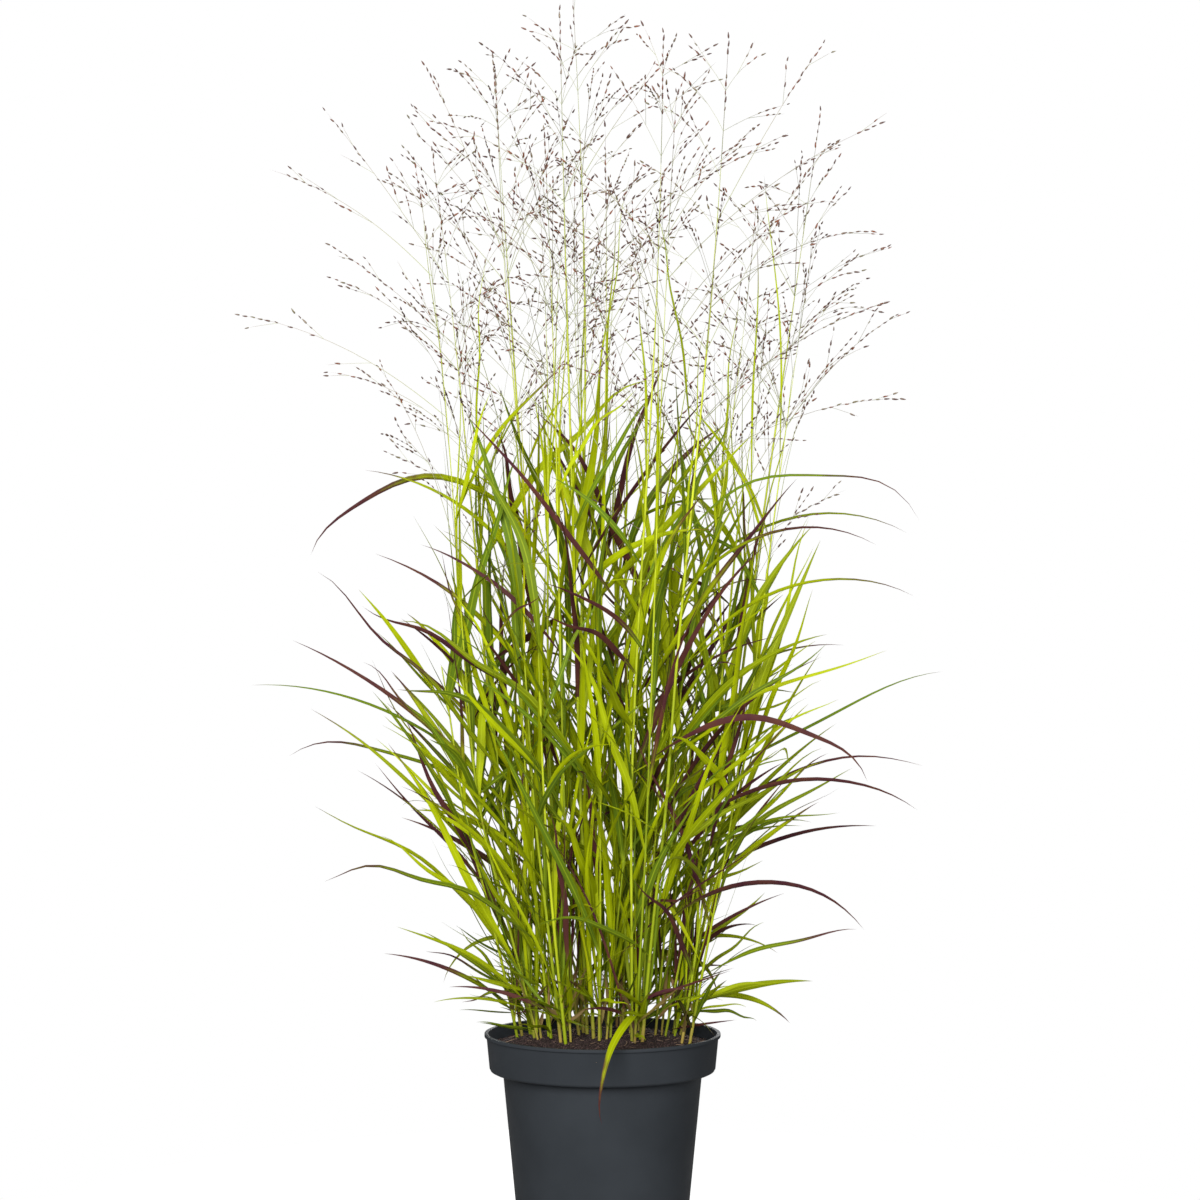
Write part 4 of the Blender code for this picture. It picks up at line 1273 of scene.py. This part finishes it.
# The seed heads
# Each flowering shoot ends in an open cloud of hair-thin branches that fork again, with
# strings of small purple-brown spikelets on their outer parts. They grew as one with the
# stalk.
SEED_BRANCH = dict(length=(0.18, 0.27), lean=(26, 44), bend=(12, 40), roll=(0.0, 0.0), drift=0.0)
HEAD_SPACING = 0.015
BRANCH_SECTIONS = (0.0, 0.06, 0.45, 1.0)
BRANCH_RADIUS = 0.0007
BRANCH_TAPER = 0.9
WHORLS = (0.0, 0.40)
WHORL_BRANCHES = 3
WHORL_SCATTER = 0.3
UPPER_SHRINK = 0.6
OUTLINE_BRANCHES = (
    # left, from the top down
    (-0.180, 1.168, 0.20, 18, 30),
    (-0.285, 1.130, 0.24, 34, 40),
    (-0.322, 1.042, 0.22, 44, 74),
    (-0.350, 0.902, 0.22, 50, 82),
    (-0.278, 0.858, 0.20, 44, 84),
    # right, from the top down
    (0.208, 1.152, 0.22, 28, 36),
    (0.256, 1.068, 0.22, 44, 70),
    (0.258, 0.982, 0.20, 46, 88),
    (0.272, 0.914, 0.22, 44, 74),
    (0.286, 0.816, 0.24, 50, 92),
)


def branch_size():
    """A branch thins out to almost nothing."""
    def half_width(share):
        return BRANCH_RADIUS * (1 - BRANCH_TAPER * share)
    return BRANCH_SECTIONS, half_width, TWIG


def grow_seed_heads(culms, space, rng):
    """Give each flowering stalk its whorls of long thin branches."""
    for culm in culms:
        for rise in WHORLS:
            height = culm.head + (culm.height - culm.head) * rise
            turn = rng.uniform(0, math.tau)
            if not culm.flowers or not culm.has_room(height, HEAD_SPACING):
                continue
            for k in range(WHORL_BRANCHES):
                for attempt in range(TRIES):
                    scatter = rng.uniform(-WHORL_SCATTER, WHORL_SCATTER)
                    azimuth = turn + math.tau * k / WHORL_BRANCHES + scatter
                    reach = 1 - UPPER_SHRINK * rise
                    limb = draw_limb(culm, height, azimuth, SEED_BRANCH, branch_size(), rng, reach)
                    if within(limb, HEAD_REACH) and space.grow(culm, limb):
                        break


flowering = [culm for culm in culms if culm.flowers]
grow_outline(OUTLINE_BRANCHES, branch_size(), (0.0, 0.0), flowering, space, rng)
grow_seed_heads(culms, space, rng)

# Blades that fill the heart of the tuft, by sort: how many a shoot has, where on the stalk
# they grow, their share of the full width, and the ranges that they are drawn from. The
# withered ones are at the foot, and the yellow-green ones at the top.
LOW_REACH = ((0.18, 0.16), (0.30, 0.18), (0.50, 0.25))
HEART_SORTS = (
    # upright blades
    dict(
        wanted=4, heights=(0.05, 0.55), widths=(0.55, 1.05),
        length=(0.15, 0.32), lean=(4, 34), bend=(0, 34), roll=(0.2, 1.6), drift=0.5,
    ),
    # blades that cross the others
    dict(
        wanted=4, heights=(0.02, 0.50), widths=(0.45, 0.90),
        length=(0.12, 0.26), lean=(28, 64), bend=(0, 60), roll=(0.3, 1.6), drift=0.6,
    ),
    # young blades that stand beside the stalk
    dict(
        wanted=4, heights=(0.004, 0.03), widths=(0.28, 0.50),
        length=(0.10, 0.30), lean=(-4, 18), bend=(-4, 14), roll=(0.2, 1.6), drift=0.3,
    ),
    # low blades that hang outwards over the rim
    dict(
        wanted=2, heights=(0.004, 0.045), widths=(0.35, 0.70), outline=LOW_REACH, scatter=1.2,
        length=(0.06, 0.14), lean=(30, 78), bend=(0, 40), roll=(0.3, 1.6), drift=0.6,
    ),
    # flag blades at the top of the foliage
    dict(
        wanted=2, heights=(0.46, 0.64), widths=(0.28, 0.60), look="lime",
        length=(0.12, 0.24), lean=(2, 26), bend=(0, 44), roll=(0.3, 1.6), drift=0.5,
    ),
    # thin blades that stand up among the seed heads
    dict(
        wanted=2, heights=(0.36, 0.56), widths=(0.20, 0.30), look="lime", outline=HEAD_REACH,
        length=(0.18, 0.32), lean=(0, 9), bend=(0, 12), roll=(0.3, 1.6), drift=0.3,
    ),
    # old blades at the foot
    dict(
        wanted=2, heights=(0.006, 0.03), widths=(0.35, 0.50), look="withered",
        length=(0.02, 0.07), lean=(4, 44), bend=(0, 40), roll=(0.3, 1.5), drift=0.4,
    ),
)
LIME_GREENS = (0.45, 0.98)
LIME_REDS = (-0.3, 0.25)
DRYNESSES = (0.6, 1.0)
CLOSE = -0.0025


def heart_look(look, rng):
    """The looks that differ: withered or yellow-green."""
    if look == "withered":
        return rng.random(), 0.0, 1.0, rng.uniform(*DRYNESSES)
    if look == "lime":
        return rng.uniform(*LIME_GREENS), rng.uniform(*LIME_REDS), 1.0
    return None


def fill_heart(culms, space, rng):
    """Grow the blades inside the tuft where there is still room for them."""
    for culm in culms:
        for sort in HEART_SORTS:
            outline = sort.get("outline", BLADE_REACH)
            scatter = sort.get("scatter", math.pi)
            low, high = sort["heights"]
            high = min(high, culm.height - END_ROOM)
            for k in range(sort["wanted"] if low < high else 0):
                for attempt in range(TRIES):
                    height = rng.uniform(low, high)
                    size = blade_size(BLADE_WIDTH * rng.uniform(*sort["widths"]))
                    azimuth = culm.azimuth + rng.uniform(-scatter, scatter)
                    limb = draw_limb(culm, height, azimuth, sort, size, rng)
                    if within(limb, outline) and space.grow(culm, limb, CLOSE):
                        limb.look = heart_look(sort.get("look"), rng)
                        break


fill_heart(culms, space, Random(SEED + 2))

# The seed heads' finer parts: twigs on the branches, and shorter branches on up the axis.
# The bare shares say how far from its start each sort of strand bears no spikelets.
BRANCH_STEPS = 12
AXIS_TOP = 0.02
AXIS_JOIN = 0.01
AXIS_WHORLS = 0.058
AXIS_CLOSING = (1.1, 0.6)
AXIS_BRANCHES = (1, 3)
AXIS_LENGTHS = (0.150, 0.045)
AXIS_SCATTER = (0.75, 1.1)
AXIS_TURNS = (-0.4, 0.4)
AXIS_LEANS = (24, 60)
AXIS_BENDS = (6, 44)
TWIG_SPACING = (0.034, 0.052)
TWIG_PLACES = (0.40, 0.96)
TWIG_LENGTHS = (0.060, 0.024)
TWIG_SCATTER = (0.7, 1.15)
LONGEST_TWIG = 0.75
TWIG_LEANS = (10, 34)
TWIG_TURNS = (-0.9, 0.9)
TWIG_STEPS = 6
TWIG_SAG = 0.06
TWIG_START = 0.02
# a direction that no twig runs along
ASKEW = Vector((0.3, 0.2, 1.0))
BRANCH_RADII = (0.00042, 0.00013)
TWIG_RADII = (0.00022, 0.00013)
TWIG_ROW = 9
TWIG_SLOTS = 8
TWIG_BARE = 0.38
BRANCH_BARE = 0.66
AXIS_BARE = 0.35
AXIS_BRANCH_BARE = 0.50


def between(ends, share):
    return ends[0] + (ends[1] - ends[0]) * share


def sprig(start, along, length):
    """Points along a thin twig that sags a little towards its tip."""
    points = [start]
    for k in range(1, TWIG_STEPS + 1):
        sag = Vector((0, 0, TWIG_SAG * (k / TWIG_STEPS) ** 2))
        points.append(points[-1] + (along - sag).normalized() * length / TWIG_STEPS)
    return points


def twig_strand(points, radii, bare, strands, rng):
    """Sweep one twig, closed at both ends."""
    count = len(points)
    side = (points[-1] - points[0]).cross(ASKEW).normalized()
    widths = [0.0, radii[0], *np.linspace(*radii, count)[1:-1], 0.0]
    points = [points[0], points[0].lerp(points[1], TWIG_START)] + points[1:]
    strands.add(
        points, [side] * (count + 1), widths, along=[0.0] + list(np.linspace(0, 1, count)),
        row=TWIG_ROW, slot=rng.randrange(TWIG_SLOTS), slots=TWIG_SLOTS, green=rng.random(),
        red=0.0, bare=bare, kind=TWIG,
    )


def spray(points, length, strands, rng):
    """Twigs on alternate sides of a branch, shorter towards its tip."""
    step = length / (len(points) - 1)
    place, last = (share * length for share in TWIG_PLACES)
    side = rng.uniform(0, math.tau)
    while place < last:
        k = min(int(place / step), len(points) - 2)
        start = points[k].lerp(points[k + 1], place / step - k)
        along = (points[k + 1] - points[k]).normalized()
        out = Quaternion(along, side) @ along.orthogonal().normalized()
        lean = math.radians(rng.uniform(*TWIG_LEANS))
        reach = between(TWIG_LENGTHS, place / length) * rng.uniform(*TWIG_SCATTER)
        away = along * math.cos(lean) + out * math.sin(lean)
        twig = sprig(start, away, min(reach, LONGEST_TWIG * length))
        twig_strand(twig, TWIG_RADII, TWIG_BARE, strands, rng)
        place += rng.uniform(*TWIG_SPACING)
        side += math.pi + rng.uniform(*TWIG_TURNS)


def seed_head(culm, strands, rng):
    """The head's long branches, the shorter ones on up its axis, and the twigs on them all."""
    for limb in culm.limbs:
        if limb.kind == TWIG:
            fine = limb.finer(BRANCH_STEPS)
            twig_strand(fine.points, BRANCH_RADII, BRANCH_BARE, strands, rng)
            spray(fine.points, limb.length, strands, rng)
    start = culm.head + AXIS_END * (culm.height - culm.head) - AXIS_JOIN
    heights = np.linspace(start, culm.height + AXIS_TOP, BRANCH_STEPS)
    twig_strand([culm.at(height) for height in heights], BRANCH_RADII, AXIS_BARE, strands, rng)
    size = np.linspace(0, 1, BRANCH_STEPS // 2 + 1), branch_size()[1], TWIG
    height = culm.head + AXIS_WHORLS
    while height < culm.height - AXIS_JOIN:
        rise = (height - culm.head) / (culm.height - culm.head)
        turn = rng.uniform(0, math.tau)
        count = rng.randint(*AXIS_BRANCHES)
        for k in range(count):
            azimuth = turn + math.tau * k / count + rng.uniform(*AXIS_TURNS)
            length = between(AXIS_LENGTHS, rise) * rng.uniform(*AXIS_SCATTER)
            lean = math.radians(rng.uniform(*AXIS_LEANS)) + culm.lean(azimuth, height)
            bend = math.radians(rng.uniform(*AXIS_BENDS))
            branch = Limb(culm, height, azimuth, length, (lean, lean + bend), size)
            twig_strand(branch.points, TWIG_RADII, AXIS_BRANCH_BARE, strands, rng)
            spray(branch.points, length, strands, rng)
        height += AXIS_WHORLS * (AXIS_CLOSING[0] - AXIS_CLOSING[1] * rise)


SPIKELET_SPACING = 0.0074
SPIKELET_LENGTHS = (0.0040, 0.0070)
SPIKELET_WIDTH = 0.29
SPIKELET_FULLNESS = 1.45
SPIKELET_TILT = 0.24
SPIKELET_GAPS = 0.20
SPIKELET_SIDES = 5
SPIKELET_RINGS = 4
SPIKELET_ROW = 10
SPIKELET_SLOTS = 16
SPIKELET_MARGIN = 0.08
TWIG_GREEN = (0.30, 0.33, 0.16)
TWIG_PURPLE = (0.20, 0.13, 0.13)
HUSK_BROWN = (0.095, 0.040, 0.026)
HUSK_PURPLE = (0.075, 0.034, 0.032)
HUSK_RUST = (0.200, 0.055, 0.020)
HUSK_GREEN = (0.150, 0.125, 0.060)
HUSK_PALE = (0.20, 0.15, 0.10)

heads_tree, given = new_tree("spikelets", "Geometry", {
    "Geometry": "Curve", "Float": "Spacing, Shortest, Longest, Width, Tilt, Slots, Row, Rows",
    "Int": "Seed", "Material": "Material",
}, {"Geometry": "Mesh"})
tree = heads_tree


def varied(low, high, seed):
    """A random number for each spikelet."""
    return drawn(low, high, maths("ADD", given["Seed"], seed))


stops = add("GeometryNodeResampleCurve", {
    "Curve": given["Curve"], "Length": given["Spacing"],
}, mode="LENGTH")
stops = stored(stops, "husk", maths("FLOOR", varied(0.0, given["Slots"], 1)))
# a teardrop, fullest in its lower third and drawn out to a point
ball = add("GeometryNodeMeshUVSphere", {
    "Segments": SPIKELET_SIDES, "Rings": SPIKELET_RINGS, "Radius": 0.5,
})
husk = stored(ball, "OFBake", ball.outputs["UV Map"], "FLOAT2", "CORNER")
spot = split(add("GeometryNodeInputPosition"))
share = maths("ADD", spot["Z"], 0.5)
husk = stored(husk, "husk_share", share)
slim = maths("MULTIPLY", given["Width"], maths("SUBTRACT", SPIKELET_FULLNESS, share))
drop = vector(X=maths("MULTIPLY", spot["X"], slim), Y=maths("MULTIPLY", spot["Y"], slim), Z=share)
husk = add("GeometryNodeSetPosition", {"Geometry": husk, "Position": drop})

upwards = add("FunctionNodeAlignRotationToVector", {
    "Vector": add("GeometryNodeInputTangent"),
}, axis="Z")
tilts = {
    axis: maths("MULTIPLY", given["Tilt"], varied(-1.0, 1.0, seed))
    for axis, seed in (("X", 2), ("Y", 3))
}
turn = add("FunctionNodeRotateRotation", {
    "Rotation": upwards, "Rotate By": turned_by(vector(**tilts, Z=varied(0.0, math.tau, 4))),
}, rotation_space="LOCAL")
bearing = maths("GREATER_THAN", named("along"), named("bare"))
kept = maths("GREATER_THAN", varied(0.0, 1.0, 6), SPIKELET_GAPS)
bearing = maths("MULTIPLY", bearing, kept)
husks = planted(stops, husk, turn, varied(given["Shortest"], given["Longest"], 5), bearing)
spot = split(named("OFBake", "FLOAT_VECTOR"))
u = in_slot(spot["X"], SPIKELET_MARGIN, named("husk"), given["Slots"])
v = in_slot(spot["Y"], SPIKELET_MARGIN, given["Row"], given["Rows"])
husks = stored(husks, "OFBake", vector(X=u, Y=v), "FLOAT2", "CORNER")
add("NodeGroupOutput", {"Mesh": painted(husks, given["Material"])})

twig_skin, tree, shader = new_material("twig", roughness=0.6)
fill(shader, {"Base Color": ramp(surface_value("along"), (0.0, TWIG_GREEN), (1.0, TWIG_PURPLE))})

husk_skin, tree, shader = new_material("spikelet", roughness=0.55)
husk_colour = ramp(
    maths("DIVIDE", surface_value("husk"), SPIKELET_SLOTS - 1.0),
    (0.0, HUSK_PALE), (0.12, HUSK_BROWN), (0.5, HUSK_PURPLE), (0.75, HUSK_RUST),
    (0.85, HUSK_BROWN), (1.0, HUSK_GREEN),
)
foot = mapped(surface_value("husk_share"), 0.35, 0.0, 0.0, 0.5)
fill(shader, {"Base Color": blend(foot, husk_colour, HUSK_GREEN)})

# Each shoot put together
# A shoot grew as one piece out of the root ball: its stalk and sheaths, its blades, and on
# the flowering ones the seed head. Its strands are swept together into one body of grass.
BLADE_CORNERS = 8
TWIG_CORNERS = 3
CREASE = math.radians(75)

shoot_tree, given = new_tree("shoot", "Geometry", {
    "Geometry": "Geometry",
    "Float": "Rows, Thickness, Fold, Spacing, Shortest, Longest, Width, Tilt, Slots, Row",
    "Int": "Stalk Corners, Blade Corners, Seed",
    "Material": "Stalk, Blade, Twig, Spikelet",
}, {"Geometry": "Geometry"})
tree = shoot_tree


def swept(kind, corners, material, thickness=1.0, fold=0.0):
    """Sweep all the strands of one kind."""
    return add("GeometryNodeGroup", {
        "Wire": given["Geometry"], "Kind": kind, "Corners": corners, "Thickness": thickness,
        "Fold": fold, "Rows": given["Rows"], "Material": material,
    }, node_tree=strand_tree)


stalks = swept(STALK, given["Stalk Corners"], given["Stalk"])
blades = swept(BLADE, given["Blade Corners"], given["Blade"], given["Thickness"], given["Fold"])
twigs = swept(TWIG, TWIG_CORNERS, given["Twig"])
passed_on = ("Spacing", "Shortest", "Longest", "Width", "Tilt", "Slots", "Row", "Rows", "Seed")
spikelets = add("GeometryNodeGroup", {
    "Curve": twigs.outputs["Curve"], "Material": given["Spikelet"],
    **{name: given[name] for name in passed_on},
}, node_tree=heads_tree)
add("NodeGroupOutput", {"Geometry": joined(stalks, blades, twigs, spikelets)})

tints = Random(SEED + 1)
for culm in culms:
    strands = Strands()
    stalk_strand(culm, strands, tints)
    blades = [limb for limb in culm.limbs if limb.kind == BLADE]
    for k, limb in enumerate(blades):
        blade_strand(culm, limb, 1 + k % BLADE_ROWS, strands, tints)
    kind = "flowering" if culm.flowers else "leafy"
    if culm.flowers:
        seed_head(culm, strands, tints)
    name = f"{kind}_grass_{culm.number + 1:02d}"
    shoot = put_in_scene(name, strands.wire(name))
    use_tree(shoot, shoot_tree, {
        "Rows": float(ROWS), "Thickness": BLADE_THICKNESS, "Fold": BLADE_FOLD,
        "Spacing": SPIKELET_SPACING, "Shortest": SPIKELET_LENGTHS[0], "Longest": SPIKELET_LENGTHS[1],
        "Width": SPIKELET_WIDTH, "Tilt": SPIKELET_TILT, "Slots": float(SPIKELET_SLOTS),
        "Row": float(SPIKELET_ROW), "Stalk Corners": STALK_CORNERS, "Blade Corners": BLADE_CORNERS,
        "Seed": culm.number, "Stalk": stalk_green, "Blade": blade_skin, "Twig": twig_skin,
        "Spikelet": husk_skin,
    })
    shoot.data.shade_smooth()
    shoot.data.set_sharp_from_angle(angle=CREASE)
    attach(shoot, "root")
    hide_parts(f"{kind}_shoot_{culm.number + 1:02d}")

size = {"cad": [list(corner) for corner in cad_box], "visual": [list(corner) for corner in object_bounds()]}
